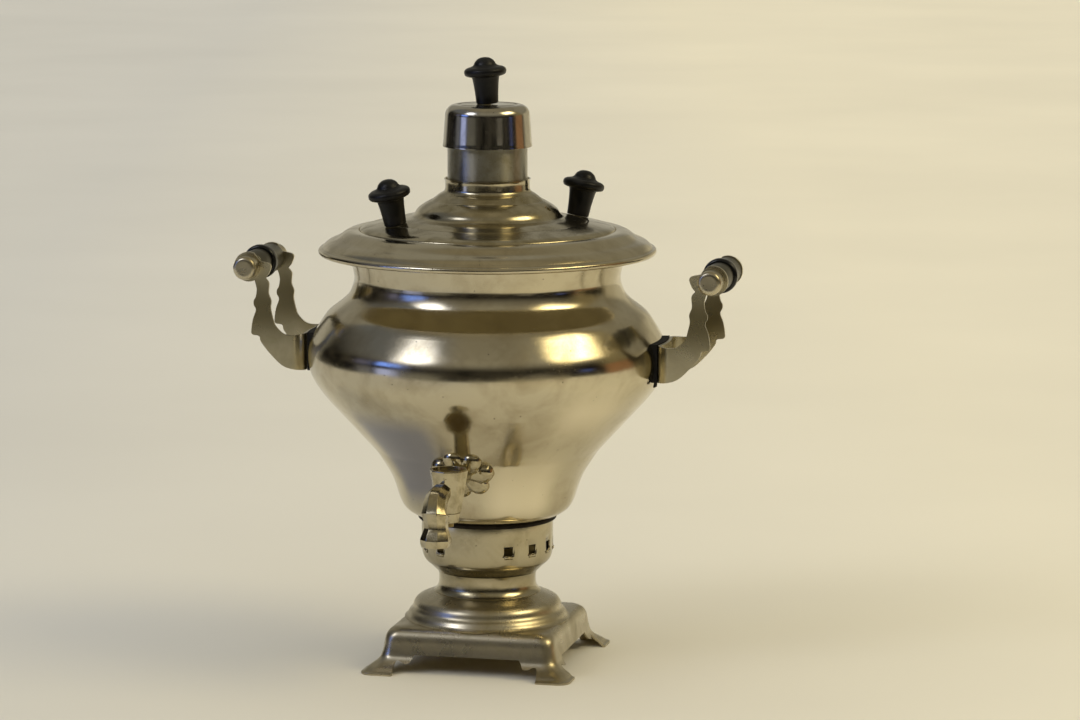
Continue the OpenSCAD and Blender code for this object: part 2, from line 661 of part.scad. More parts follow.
// An eight-sided slice square to the line at its point i
module spout_slice(line, i) {
    last = len(line) - 1;
    d = line[min(i + 1, last)] - line[max(i - 1, 0)];
    translate([0, -barrel_y - line[i].x, line[i].y]) rotate([atan2(d.x, d.y), 0, 0])
        rotate([0, 0, 22.5]) cylinder(r = line[i].z, h = 0.3, center = true, $fn = 8);
}

module spout_chain(line) for (i = [0 : len(line) - 2]) hull() {
    spout_slice(line, i);
    spout_slice(line, i + 1);
}

module tap_spout() color(nickel) difference() {
    spout_chain(spout_line);
    // drilled from the mouth upwards and from the barrel forwards, to meet at the bend
    translate([0, -barrel_y - spout_reach, spout_z - 1])
        cylinder(d = tap_bore, h = tap_z - spout_z - 5, $fn = 24);
    translate([0, -barrel_y, tap_z]) rotate([110, 0, 0])
        cylinder(d = tap_bore, h = spout_reach + 0.6, $fn = 24);
    // the mouth flares open, and the root follows the barrel
    translate([0, -barrel_y - spout_reach, spout_z - 0.5])
        cylinder(r1 = spout_mouth_d / 2 - 1.2, r2 = 0, h = 6, $fn = 24);
    on_barrel() translate([0, 0, barrel_low_z - 5]) cylinder(r1 = barrel_low_d / 2 - 5 * taper,
        r2 = barrel_top_d / 2 + 5 * taper, h = barrel_h + 10);
}

washer_y = tail_y + 4.4;

module tap_washer() color("#3a2d26") intersection() {
    translate([0, -washer_y, tap_z]) rotate([90, 0, 0]) difference() {
        cylinder(d = pipe_d + 7, h = 20);
        translate([0, 0, -1]) cylinder(d = pipe_d + 0.02, h = 30);
    }
    vessel_solid(vessel_inner);
}

module tap_nut() color(dull) translate([0, -washer_y + 3.4, tap_z]) rotate([90, 0, 0])
    hex_nut(pipe_d * 1.75, 3.3, pipe_d + 0.02);

tail_d = plug_low_r;
plug_drop = 0.7;

module tap_plug() color(dull) on_barrel() difference() {
    union() {
        translate([0, 0, barrel_low_z])
            cylinder(r1 = plug_low_r, r2 = plug_top_r - plug_drop * taper, h = barrel_h - plug_drop);
        translate([0, 0, barrel_low_z - 6]) cylinder(d = tail_d, h = 7);
    }
    // water way, turned across the pipe while the tap is shut
    translate([0, 0, tap_z]) rotate([0, 90, 0]) cylinder(d = tap_bore, h = barrel_top_d, center = true);
    // dished top with a square socket for the key
    translate([0, 0, barrel_top_z - plug_drop - 1])
        cylinder(r1 = plug_top_r - 2, r2 = plug_top_r - 1, h = 1.01);
    translate([-1.6, -1.6, barrel_top_z - plug_drop - 3.2]) cube([3.2, 3.2, 4]);
}

module plug_washer() color(dull) on_barrel() translate([0, 0, barrel_low_z - 1.1]) difference() {
    cylinder(d = barrel_low_d - 1.2, h = 0.8);
    translate([0, 0, -1]) cylinder(d = tail_d + 0.02, h = 3);
}

module plug_nut() color(nickel) on_barrel() translate([0, 0, barrel_low_z - 5.1])
    hex_nut(barrel_low_d - 2.4, 4, tail_d + 0.02);

// ---- lid ----

collar_r = tube_r + lift_gap;
collar_wall = 0.7;
lid_dome_r = lid_dome_d / 2;
lid_foot_z = lip_z + 5.4;
lid_knob_r = lid_knob_pcd / 2;
skirt_out_r = well_r - sheet - lift_gap;

// Points of the lid as shares of the way along its dome, and along its flange
function dome_at(u, v) = [mix(collar_r, lid_dome_r, u), mix(lid_foot_z, collar_z, v)];
function flange_at(u, v) = [mix(lid_knob_r, lid_r, u), mix(lip_z, lid_foot_z, v)];

collar_line = [[collar_r + collar_wall, collar_z], [collar_r + collar_wall, dome_at(0, 0.68).y]];
lid_dome_line = smooth([[collar_r + collar_wall + 0.5, dome_at(0, 0.61).y], dome_at(0.2, 0.56),
    dome_at(0.38, 0.47), dome_at(0.64, 0.33), dome_at(0.84, 0.19), dome_at(0.96, 0.06),
    [lid_dome_r + 0.8, lid_foot_z], [mix(lid_dome_r, lid_knob_r, 0.5), lid_foot_z - 0.6],
    [lid_knob_r + 0.2, lid_foot_z - 1.8]], 3);
lid_flange_line = smooth([[lid_knob_r + 1, lid_foot_z - 1.5], flange_at(0.4, 0.56),
    flange_at(0.7, 0.34), [lid_r, lip_z]], 3);
lid_line = reversed(concat(collar_line, lid_dome_line, lid_flange_line));

// Puts a child on a lid knob's seat, with its +Z along the knob
module on_lid_knob(side) rotate([0, 0, lid_turn]) translate([side * lid_knob_r, 0, lid_foot_z - 1.5])
    rotate([0, side * lid_knob_lean, 0]) children();

module lid() color(nickel) difference() {
    union() {
        spun(lid_line);
        rotate_extrude() polygon([[lid_r, ledge_z], [lid_r, lip_z], [lid_r - 3, lip_z + 0.9],
            [skirt_out_r - sheet, lip_z + 0.6], [skirt_out_r - sheet, ledge_z - lid_skirt_h],
            [skirt_out_r, ledge_z - lid_skirt_h], [skirt_out_r, ledge_z]]);
    }
    around(78, mix(collar_r, lid_dome_r, 0.74), lid_foot_z) cylinder(d = steam_d, h = 10);
    for (side = [-1, 1]) on_lid_knob(side)
        cylinder(d = knob_screw_d + 2 * screw_gap, h = 8, center = true);
}

// ---- knobs ----

module knob() difference() {
    rotate_extrude() polygon(concat([[0, 0], [knob_foot_d / 2 - 0.4, 0], [knob_foot_d / 2, 0.4]],
        smooth([[knob_foot_d / 2 + 0.1, knob_h * 0.1], [knob_foot_d / 2 + 0.7, knob_h * 0.5],
        [knob_foot_d / 2 + 1.1, knob_h * 0.575]]),
        smooth([[knob_brim_d / 2 - 1.9, knob_h * 0.585], [knob_brim_d / 2 - 0.5, knob_h * 0.62],
        [knob_brim_d / 2, knob_h * 0.69], [knob_brim_d / 2 - 0.5, knob_h * 0.765],
        [knob_brim_d / 2 - 2.2, knob_h * 0.8], [knob_foot_d / 2 + 0.2, knob_h * 0.84],
        [knob_foot_d / 2 - 0.9, knob_h * 0.92], [knob_foot_d / 4, knob_h * 0.98], [0, knob_h]], 4)));
    translate([0, 0, -1]) cylinder(d = knob_screw_d, h = knob_h * 0.45 + 1);
}

// A screw whose shaft ends at z = 0 + reach and whose head lies below the seat
module knob_screw(under, reach) {
    translate([0, 0, -under - 0.1]) cylinder(d = knob_screw_d - 0.02, h = reach + under + 0.1);
    translate([0, 0, -under]) mirror([0, 0, 1]) rotate_extrude()
        polygon(concat([[0, 0], [knob_screw_d, 0]], arc([knob_screw_d - 1.2, 0.3], 1.2, 0, 90),
            [[0, 1.5]]));
}

module left_lid_knob() color(black) on_lid_knob(-1) translate([0, 0, 0.5]) knob();
module right_lid_knob() color(black) on_lid_knob(1) translate([0, 0, 0.5]) knob();
module lid_knob_screws() color(dull) for (side = [-1, 1]) on_lid_knob(side) knob_screw(1.6, knob_h * 0.4);

// ---- chimney cap ----

cap_r = tube_r + cap_gap + sheet;
// The chimney's edge stands just under the curve inside the cap's shoulder
cap_inner_round = cap_round - sheet;
cap_top_z = tube_top_z + lift_gap + cap_round
    - sqrt(pow(cap_inner_round, 2) - pow(cap_inner_round - cap_gap, 2));
cap_z = cap_top_z - cap_h;

module chimney_cap() color(nickel) difference() {
    centre = [cap_r - cap_round, cap_top_z - cap_round];
    rotate_extrude() polygon(concat([[cap_r - sheet, cap_z], [cap_r, cap_z]],
        arc(centre, cap_round, 0, 90, 8), [[0, cap_top_z], [0, cap_top_z - sheet]],
        arc(centre, cap_inner_round, 90, 0, 8)));
    translate([0, 0, cap_top_z]) cylinder(d = knob_screw_d + 2 * screw_gap + 0.2, h = 4, center = true);
}

// The loose knob leans over one edge of its foot
module on_cap_knob() translate([0, 0, cap_top_z]) rotate([0, 0, 14]) translate([-knob_foot_d / 2, 0, 0])
    rotate([0, -cap_knob_lean, 0]) translate([knob_foot_d / 2, 0, 0]) children();

module cap_knob() color(black) on_cap_knob() knob();
module cap_knob_screw() color(dull) on_cap_knob() knob_screw(sheet + 0.6, knob_h * 0.4);

stand_base();
stand_dome();
stand_neck();
vent_ring();
foot_ring();
vessel();
vessel_neck();
vessel_floor();
brim();
fire_tube();
grate();
left_handle_bracket();
right_handle_bracket();
left_handle_pad();
right_handle_pad();
left_handle_screws();
right_handle_screws();
left_handle_nuts();
right_handle_nuts();
left_grip_rod();
left_grip_caps();
left_grip_sleeves();
left_grip_disc();
right_grip_rod();
right_grip_caps();
right_grip_sleeves();
right_grip_disc();
tap_rosette();
tap_body();
tap_spout();
tap_washer();
tap_nut();
tap_plug();
plug_washer();
plug_nut();
lid();
left_lid_knob();
right_lid_knob();
lid_knob_screws();
chimney_cap();
cap_knob();
cap_knob_screw();
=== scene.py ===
import math
from functools import partial

import bmesh
import bpy
from mathutils import Matrix, Vector, noise


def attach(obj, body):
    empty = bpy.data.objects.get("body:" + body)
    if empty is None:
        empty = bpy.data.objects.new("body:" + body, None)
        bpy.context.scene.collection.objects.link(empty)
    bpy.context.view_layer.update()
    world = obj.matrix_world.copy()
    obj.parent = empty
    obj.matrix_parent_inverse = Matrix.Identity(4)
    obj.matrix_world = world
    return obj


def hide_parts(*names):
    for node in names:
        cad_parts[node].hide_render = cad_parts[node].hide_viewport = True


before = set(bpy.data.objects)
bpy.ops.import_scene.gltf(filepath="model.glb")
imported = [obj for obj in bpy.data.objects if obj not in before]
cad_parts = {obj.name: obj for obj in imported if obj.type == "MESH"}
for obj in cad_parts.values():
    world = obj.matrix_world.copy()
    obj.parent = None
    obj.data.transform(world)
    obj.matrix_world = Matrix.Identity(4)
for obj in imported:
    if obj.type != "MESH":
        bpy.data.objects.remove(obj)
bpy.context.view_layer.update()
mm = 0.001  # everything below is written in millimetres and turned to metres with this


def fromHex(code):  # sRGB hex to the linear values that the shader sockets hold
    parts = [int(code[i:i + 2], 16) / 255 for i in (1, 3, 5)]
    return [p / 12.92 if p <= 0.04045 else ((p + 0.055) / 1.055) ** 2.4 for p in parts] + [1.0]


def addNode(tree, kind, settings=None, links=None):
    # a link comes from a socket, or from a node's first output. MapRange takes its two ranges
    # at 1 to 4, and a colour Mix its share at 0 and its colours at 6 and 7
    node = tree.nodes.new("ShaderNode" + kind)
    if kind == "Mix":  # every mix here is of two colours
        node.data_type = "RGBA"
    for key, value in (settings or {}).items():
        if isinstance(key, str) and hasattr(node, key):
            setattr(node, key, value)
        else:
            node.inputs[key].default_value = value
    for key, source in (links or {}).items():
        socket = source.outputs[0] if isinstance(source, bpy.types.Node) else source
        tree.links.new(socket, node.inputs[key])
    return node


def newMaterial(name):
    material = bpy.data.materials.new(name)
    material.use_nodes = True
    material.node_tree.nodes.clear()
    add = partial(addNode, material.node_tree)
    coords = add("TexCoord")
    inMm = add("VectorMath", {"operation": "SCALE", "Scale": 1 / mm}, {0: coords.outputs["Object"]})
    return material, add, inMm


def mix(a, b, share):
    return a + (b - a) * share


def softWindow(add, ranges):  # 1 inside every (source, middle, half width, softness), 0 outside
    mask = None
    for source, middle, half, soft in ranges:
        away = add("Math", {"operation": "SUBTRACT", 1: middle}, {0: source})
        away = add("Math", {"operation": "ABSOLUTE"}, {0: away})
        inside = add("MapRange", {"interpolation_type": "SMOOTHSTEP", 1: half - soft,
                                  2: half + soft, 3: 1.0, 4: 0.0}, {0: away})
        mask = inside if mask is None else add("Math", {"operation": "MULTIPLY"},
                                               {0: mask, 1: inside})
    return mask


def curveThrough(points, steps=4):  # smooth curve through the given (radius, height) points
    line = []
    for i in range(len(points) - 1):
        p0, p1 = points[max(i - 1, 0)], points[i]
        p2, p3 = points[i + 1], points[min(i + 2, len(points) - 1)]
        for k in range(steps):
            t = k / steps
            line.append(tuple(0.5 * (2 * b + (c - a) * t + (2 * a - 5 * b + 4 * c - d) * t ** 2
                                     + (3 * b - a - 3 * c + d) * t ** 3)
                              for a, b, c, d in zip(p0, p1, p2, p3)))
    return line + [tuple(points[-1])]


def moveSideways(line, distance):  # to the left of the line's own direction
    moved = []
    for i, (x, y) in enumerate(line):
        before, after = line[max(i - 1, 0)], line[min(i + 1, len(line) - 1)]
        dx, dy = after[0] - before[0], after[1] - before[1]
        length = math.hypot(dx, dy) or 1
        moved.append((x - dy / length * distance, y + dx / length * distance))
    return moved


def arcLine(centre, radius, fromAngle, toAngle, steps=8):
    angles = [math.radians(mix(fromAngle, toAngle, k / steps)) for k in range(steps + 1)]
    return [(centre[0] + radius * math.cos(a), centre[1] + radius * math.sin(a)) for a in angles]


def shadeSmooth(mesh, sharpAngle):
    for face in mesh.polygons:
        face.use_smooth = True
    mesh.set_sharp_from_angle(angle=math.radians(sharpAngle))


def makeObject(name, bm, sharpAngle=35, seat=None):
    if seat:
        bm.transform(seat)
    bmesh.ops.remove_doubles(bm, verts=bm.verts, dist=1e-6)
    mesh = bpy.data.meshes.new(name)
    bm.to_mesh(mesh)
    bm.free()
    shadeSmooth(mesh, sharpAngle)
    piece = bpy.data.objects.new(name, mesh)
    bpy.context.scene.collection.objects.link(piece)
    return piece


def addPoint(bm, x, y, z):
    return bm.verts.new((x * mm, y * mm, z * mm))


def bridge(bm, low, high, closed=True, skip=()):
    # faces between two rows of points, of which one may be a single point on the axis
    count = max(len(low), len(high))
    for k in range(count - (not closed)):
        n = (k + 1) % count
        if k in skip:
            continue
        if len(low) == 1:
            bm.faces.new((low[0], high[n], high[k]))
        elif len(high) == 1:
            bm.faces.new((low[k], low[n], high[0]))
        else:
            bm.faces.new((low[k], low[n], high[n], high[k]))


def bridgeRows(bm, rows, closed=True):
    for low, high in zip(rows, rows[1:]):
        bridge(bm, low, high, closed)


def spinLine(line, turns=192, closed=False, gaps=None):
    # turns a (radius, height) line about the upright axis; gaps holds the faces left out of a row
    bm = bmesh.new()
    angles = turns if isinstance(turns, list) else [2 * math.pi * k / turns for k in range(turns)]
    rings = [[addPoint(bm, r * math.cos(a), r * math.sin(a), z) for a in (angles if r else [0])]
             for r, z in line]
    pairs = list(zip(rings, rings[1:])) + ([(rings[-1], rings[0])] if closed else [])
    for i, (low, high) in enumerate(pairs):
        bridge(bm, low, high, skip=(gaps or {}).get(i, ()))
    return bm


def joinMesh(bm, other):  # puts the faces of the second mesh into the first
    mesh = bpy.data.meshes.new("part")
    other.to_mesh(mesh)
    other.free()
    bm.from_mesh(mesh)
    bpy.data.meshes.remove(mesh)


def turnBy(degrees, axis):
    return Matrix.Rotation(math.radians(degrees), 4, axis)


def moveBy(x, y, z):
    return Matrix.Translation((x * mm, y * mm, z * mm))


def evenLine(line, spacing):  # the same line with its points at equal distances
    lengths = [0]
    for a, b in zip(line, line[1:]):
        lengths.append(lengths[-1] + math.dist(a, b))
    count = max(1, round(lengths[-1] / spacing))
    even, k = [], 0
    for i in range(count + 1):
        want = lengths[-1] * i / count
        while k < len(line) - 2 and lengths[k + 1] < want:
            k += 1
        share = (want - lengths[k]) / ((lengths[k + 1] - lengths[k]) or 1)
        even.append(tuple(mix(a, b, share) for a, b in zip(line[k], line[k + 1])))
    return even


def makePrism(outline, low, high, matrix=None):  # a flat outline drawn out from low to high
    bm = bmesh.new()
    bottom, top = ([addPoint(bm, x, y, z) for x, y in outline] for z in (low, high))
    bm.faces.new(bottom[::-1])
    bm.faces.new(top)
    bridge(bm, bottom, top)
    if matrix:
        bm.transform(matrix)
    bmesh.ops.recalc_face_normals(bm, faces=bm.faces)
    return bm


def cutWith(piece, tool, operation="DIFFERENCE", sharpAngle=35):
    cut = piece.modifiers.new("cut", "BOOLEAN")
    cut.operation = operation
    cut.solver = "EXACT"
    cut.object = tool
    seen = piece.evaluated_get(bpy.context.evaluated_depsgraph_get())
    mesh = bpy.data.meshes.new_from_object(seen)
    piece.modifiers.clear()
    piece.data = mesh
    bpy.data.objects.remove(tool)
    shadeSmooth(mesh, sharpAngle)
    return piece


def roundLine(centre, radius, count):
    angles = [2 * math.pi * k / count for k in range(count)]
    return [(centre[0] + radius * math.cos(a), centre[1] + radius * math.sin(a)) for a in angles]


def addBevel(piece, width, angle, segments=2):
    bevel = piece.modifiers.new("softEdges", "BEVEL")
    bevel.width = width * mm
    bevel.segments = segments
    bevel.limit_method = "ANGLE"
    bevel.angle_limit = math.radians(angle)
    bevel.harden_normals = False


def place(piece, material, body, slot, *nodes):  # finish, body and the CAD nodes it stands for
    piece.data.materials.clear()
    piece.data.materials.append(material)
    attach(piece, body)
    if nodes:
        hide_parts(*nodes)


camera = {
    "azimuth": 13.5,  # degrees from the front towards the right handle
    "elevation": 8.7,
    "distance": 1700,  # mm from the point aimed at
    "aimHeight": 125,
    "mmPerPixel": 0.415,  # at the samovar's axis, in a 1080 pixel wide frame
    "aimPixel": (487.5, 362.9),
    "frameSize": (1080, 720),
    "sensor": 36,
}


def makeCamera(c):
    azimuth, elevation = math.radians(c["azimuth"]), math.radians(c["elevation"])
    back = Vector((math.sin(azimuth) * math.cos(elevation),
                   -math.cos(azimuth) * math.cos(elevation), math.sin(elevation)))
    data = bpy.data.cameras.new("tableCamera")
    data.sensor_width = c["sensor"]
    data.lens = c["sensor"] * c["distance"] / c["mmPerPixel"] / c["frameSize"][0]
    data.shift_x = (c["frameSize"][0] / 2 - c["aimPixel"][0]) / c["frameSize"][0]
    data.shift_y = (c["aimPixel"][1] - c["frameSize"][1] / 2) / c["frameSize"][0]
    seat = bpy.data.objects.new("tableCamera", data)
    seat.location = Vector((0, 0, c["aimHeight"] * mm)) + back * c["distance"] * mm
    seat.rotation_mode = "QUATERNION"
    seat.rotation_quaternion = (-back).to_track_quat("-Z", "Y")
    bpy.context.scene.collection.objects.link(seat)
    bpy.context.scene.camera = seat


makeCamera(camera)
bpy.context.scene.view_settings.view_transform = "Standard"
print("camera set")

roomLight = {
    "base": "#302d26",
    # name, azimuth, half width, lowest, highest, softness, colour, strength: angles are degrees,
    # azimuth from the tap's side towards the right handle; each patch lies over those before it
    "patches": [
        ("ceiling", 0, 200, 26, 120, 9, "#6b675c", 1.0),
        ("glow", 20, 75, 30, 56, 20, "#a09a88", 1.0),
        ("coolSide", -95, 75, 30, 64, 12, "#6c6f74", 1.0),
        ("warmSide", 112, 18, 8, 64, 10, "#8a7d5a", 1.0),
        ("zenith", 0, 200, 62, 120, 24, "#6f6856", 1.9),
        ("paperRight", 156, 28, -20, 16, 8, "#d9ceae", 0.8),
        ("paperLeft", -154, 30, -20, 16, 8, "#ccc7b6", 0.8),
        ("hazeRight", 180, 60, 16, 62, 8, "#a39c87", 0.8),
        ("hazeLeft", -180, 60, 16, 62, 8, "#a19d90", 0.9),
        ("leftTable", -31, 13, -24, 4, 7, "#8d8a7e", 0.8),
        ("woodBoard", 108, 13, -30, 12, 3, "#9c7450", 1.0),
        ("tableShine", -54, 8, -30, 6, 3, "#a9b4e6", 1.5),
        ("paleSide", -72, 6, -30, 6, 4, "#77787e", 1.0),
        ("frontShine", 28, 9, -30, -3, 6, "#6b6555", 1.0),
        ("windowSky", -54, 10, 13, 23, 2, "#6f94ff", 2.2),
        ("windowPane", -42, 11, 32, 47, 8, "#eef1ff", 7.0),
        ("windowLow", -76, 6, 10, 20, 3, "#8f8fb0", 0.6),
        ("warmWindow", 84, 18, 34, 51, 8, "#ffeebc", 6.5),
        ("smallWindow", 79, 4, 1, 7, 2, "#6272b8", 0.7),
        ("lampShade", 46, 7, -3, 3, 2, "#a9a396", 0.7),
    ],
    "blotches": 5.5, "darkBlotch": 0.12, "paleBlotch": 1.9,  # the room behind the patches
    "cameraLeft": "#cdc7b9", "cameraRight": "#e3d8bb", "cameraBlend": 0.16,  # the plain backdrop
}

floorPlan = {
    # painted light: the paper runs from a greyer left to a paler, warmer right, where the warm
    # light falls
    "size": 24000, "left": "#cbc8bc", "right": "#e6ddc0",
    "fromLeft": -330, "toRight": 260, "across": (0.972, 0.233, 0),  # where the two tones lie
    # the paper ends here and at its sides; past it metal sees the room instead
    "frontEdge": 850, "frontBlur": 15, "sideEdge": 1150, "sideBlur": 40,
    "cloudSize": 1000 / 3, "darkest": 0.965, "palest": 1.02,  # the paper's slight unevenness
}


def makeRoom(r):
    world = bpy.data.worlds.new("quietRoom")
    bpy.context.scene.world = world
    world.use_nodes = True
    world.node_tree.nodes.clear()
    add = partial(addNode, world.node_tree)
    coords = add("TexCoord")
    split = add("SeparateXYZ", links={0: coords.outputs["Generated"]})
    toFront = add("Math", {"operation": "MULTIPLY", 1: -1.0}, {0: split.outputs["Y"]})
    azimuth = add("Math", {"operation": "ARCTAN2"}, {0: split.outputs["X"], 1: toFront})
    height = add("Math", {"operation": "ARCSINE"}, {0: split.outputs["Z"]})
    blotches = add("TexNoise", {"Scale": r["blotches"], "Detail": 4.0},
                   {"Vector": coords.outputs["Generated"]})
    shade = add("MapRange", {1: 0.38, 2: 0.66, 3: r["darkBlotch"], 4: r["paleBlotch"]},
                {0: blotches})
    base = add("VectorMath", {"operation": "SCALE", 0: fromHex(r["base"])[:3]}, {"Scale": shade})
    colour = base
    for name, middle, half, low, high, soft, tone, strength in r["patches"]:
        middle, half, low, high, soft = (math.radians(a) for a in (middle, half, low, high, soft))
        mask = softWindow(add, [(azimuth, middle, half, soft),
                                (height, (low + high) / 2, (high - low) / 2, soft)])
        glow = [c * strength for c in fromHex(tone)[:3]] + [1.0]
        layer = add("Mix", {7: glow, "label": name}, {0: mask, 6: colour})
        colour = layer.outputs[2]
    across = add("MapRange", {1: -r["cameraBlend"], 2: r["cameraBlend"]}, {0: split.outputs["X"]})
    seen = add("Mix", {6: fromHex(r["cameraLeft"]), 7: fromHex(r["cameraRight"])}, {0: across})
    lightPath = add("LightPath")
    room = add("Background", {}, {0: colour})
    backdrop = add("Background", {}, {0: seen.outputs[2]})
    choose = add("MixShader", {}, {0: lightPath.outputs["Is Camera Ray"], 1: room, 2: backdrop})
    add("OutputWorld", {}, {0: choose})


def makeFloor(f):
    bm = bmesh.new()
    bmesh.ops.create_grid(bm, x_segments=1, y_segments=1, size=f["size"] / 2 * mm)
    floor = makeObject("paperFloor", bm)
    material, add, inMm = newMaterial("matteCreamPaper")  # coated paper: even, no gloss
    split = add("SeparateXYZ", links={0: inMm})
    sideways = add("VectorMath", {"operation": "DOT_PRODUCT", 1: f["across"]}, {0: inMm})
    across = add("MapRange", {1: f["fromLeft"], 2: f["toRight"]}, {0: sideways.outputs["Value"]})
    clouds = add("TexNoise", {"Scale": 1 / f["cloudSize"], "Detail": 3.0}, {"Vector": inMm})
    # painted light: greyer on the left, paler and warmer on the right
    paper = add("Mix", {6: fromHex(f["left"]), 7: fromHex(f["right"])}, {0: across})
    uneven = add("MapRange", {1: 0.3, 2: 0.7, 3: f["darkest"], 4: f["palest"]}, {0: clouds})
    tone = add("VectorMath", {"operation": "SCALE"}, {0: paper.outputs[2], "Scale": uneven})
    pastFront = add("MapRange", {1: -f["frontEdge"] - f["frontBlur"],
                                 2: -f["frontEdge"] + f["frontBlur"], 3: 1.0, 4: 0.0},
                    {0: split.outputs["Y"]})
    sideways = add("Math", {"operation": "ABSOLUTE"}, {0: split.outputs["X"]})
    pastSide = add("MapRange", {1: f["sideEdge"] - f["sideBlur"], 2: f["sideEdge"] + f["sideBlur"]},
                   {0: sideways})
    past = add("Math", {"operation": "MAXIMUM"}, {0: pastFront, 1: pastSide})
    lightPath = add("LightPath")
    notCamera = add("Math", {"operation": "SUBTRACT", 0: 1.0},
                    {1: lightPath.outputs["Is Camera Ray"]})
    gone = add("Math", {"operation": "MULTIPLY"}, {0: past, 1: notCamera})
    paint = add("BsdfDiffuse", {}, {0: tone})
    clear = add("BsdfTransparent")
    whole = add("MixShader", {}, {0: gone, 1: paint, 2: clear})
    add("OutputMaterial", {}, {0: whole})
    floor.data.materials.append(material)


overhead = {  # the wide, even light of the room's ceiling; it falls on the paper and on plastic
    "colour": (0.95, 1.0, 1.14), "strength": 1.55, "angle": 120,
}


def makeOverhead(o):
    data = bpy.data.lights.new("ceilingLight", "SUN")
    data.color, data.energy, data.angle = o["colour"], o["strength"], math.radians(o["angle"])
    lamp = bpy.data.objects.new("ceilingLight", data)
    lamp.visible_glossy = False  # metal already mirrors the room itself
    bpy.context.scene.collection.objects.link(lamp)


makeRoom(roomLight)
makeOverhead(overhead)
makeFloor(floorPlan)
print("room and floor made")

# sizes are millimetres on the metal; fine patterns are drawn as coarse as they need to show
nickelPlate = {  # electroplated nickel on spun brass, buffed on the lathe: a warm grey mirror
    # the soil colour darkens the pits and also paints shade into the sheet's creases
    "colour": "#c9c0a8", "tarnish": "#998b6b", "soilAndShade": "#3a3220",
    "roughness": 0.12, "tarnishRoughness": 0.24, "haze": 0.05,  # added where the grain stands up
    "ringSpacing": 1.3, "ringDepth": 0.0022,  # tool marks of the lathe
    "waveSize": 22, "waveDepth": 0.05,  # hand-held buffing leaves the sheet slightly uneven
    "grainSize": 0.5, "grainDepth": 0.0012,
    "patchSize": 16, "tarnishAmount": 0.55,
    "scratchDepth": 0.004, "pitSpacing": 4.2, "pitSize": 0.07, "pitDepth": 0.03,
    "depth": "#8d8468",  # painted reflection: the flat tone a surface glows with where it is seen only in another's reflection
    "turned": 0.0,  # how much stronger the lathe's lines blur along the piece than round it
    "spots": [],  # tints: azimuth, half width, height, half height, softness, colour
}
vesselNickel = dict(nickelPlate, spots=[  # painted light: a darker grey patch of painted reflection left of the tap, and two pale cream patches of painted highlight to the right
    (-28, 19, 90, 18, 6, "#959396"),
    (52, 13, 112, 8, 9, "#e9dfc4"),
    (34, 20, 76, 14, 10, "#e9dfc4"),
])
standNickel = dict(nickelPlate, **{  # lower down the plate is darker and browner
    "colour": "#b5ac92", "tarnish": "#857853", "roughness": 0.15, "tarnishAmount": 0.7,
    "depth": "#3f3a2c", "spots": [  # painted shade: a darker band under the vent ring's curve, over the neck
        (0, 200, 40.6, 2.2, 1.6, "#7f775f"),
    ],
})
bracketNickel = dict(nickelPlate, **{  # stamped strip, plated but never buffed
    "colour": "#cfc6aa", "tarnish": "#91865f", "roughness": 0.27, "tarnishRoughness": 0.36,
    "patchSize": 20, "haze": 0.04, "pitSize": 0.04, "spots": [  # the arms are darker and browner
        (0, 200, 147, 11, 9, "#857c60"),
    ],
})
castNickel = dict(nickelPlate, **{  # cast brass, filed to its facets and plated
    "colour": "#bdb397", "tarnish": "#7a6d4c", "roughness": 0.1, "patchSize": 5,
    "tarnishAmount": 0.8, "waveSize": 5, "waveDepth": 0.14, "haze": 0.03,
})
capNickel = dict(nickelPlate, **{  # plated last, still close to chrome in tone
    "colour": "#c4bfb2", "tarnish": "#8f8977", "roughness": 0.1, "haze": 0.06,
})
dullNickel = dict(nickelPlate, **{  # the same plate, worn by handling until its shine is gone
    "colour": "#c3baa2", "tarnish": "#857954", "roughness": 0.27, "tarnishRoughness": 0.4,
    "ringDepth": 0.003, "waveDepth": 0.03, "grainDepth": 0.004, "tarnishAmount": 0.6,
    "pitSpacing": 3.4, "haze": 0.0,
})
lidNickel = dict(nickelPlate, **{  # wiped often but never polished: a soft, brownish sheen
    "colour": "#bdb49b", "tarnish": "#857a57", "roughness": 0.14, "tarnishRoughness": 0.28,
    "ringDepth": 0.003, "grainDepth": 0.003, "patchSize": 9, "tarnishAmount": 0.8, "haze": 0.03,
})
gripSteel = dict(dullNickel, **{  # plain steel, dark grey
    "colour": "#68665d", "tarnish": "#4b483f", "roughness": 0.36, "tarnishRoughness": 0.45,
})
brownBrass = dict(dullNickel, **{  # the plug's brass, bare and gone brown
    "colour": "#8d7c54", "tarnish": "#4c4029", "roughness": 0.3, "tarnishRoughness": 0.5,
})
# drawn steel tube, etched by heat and steam to a fine grey grain
chimneySteel = dict(nickelPlate, **{
    "colour": "#9e9b90", "tarnish": "#7b7664", "roughness": 0.35, "tarnishRoughness": 0.41,
    "ringDepth": 0.002, "waveDepth": 0.02, "grainDepth": 0.035, "patchSize": 7,
    "tarnishAmount": 0.8, "pitSpacing": 1.6, "pitSize": 0.1, "haze": 0.0, "turned": 0.95,
})
burntIron = dict(nickelPlate, **{  # cast iron burnt by charcoal: dark, dry scale; on the foot ring it is painted shade
    "colour": "#322d27", "tarnish": "#1f1914", "roughness": 0.62, "tarnishRoughness": 0.8,
    "ringDepth": 0.0, "waveDepth": 0.02, "grainSize": 0.9, "grainDepth": 0.04, "patchSize": 6,
    "tarnishAmount": 0.9, "pitSpacing": 1.8, "pitSize": 0.2, "depth": "#15120e",
})


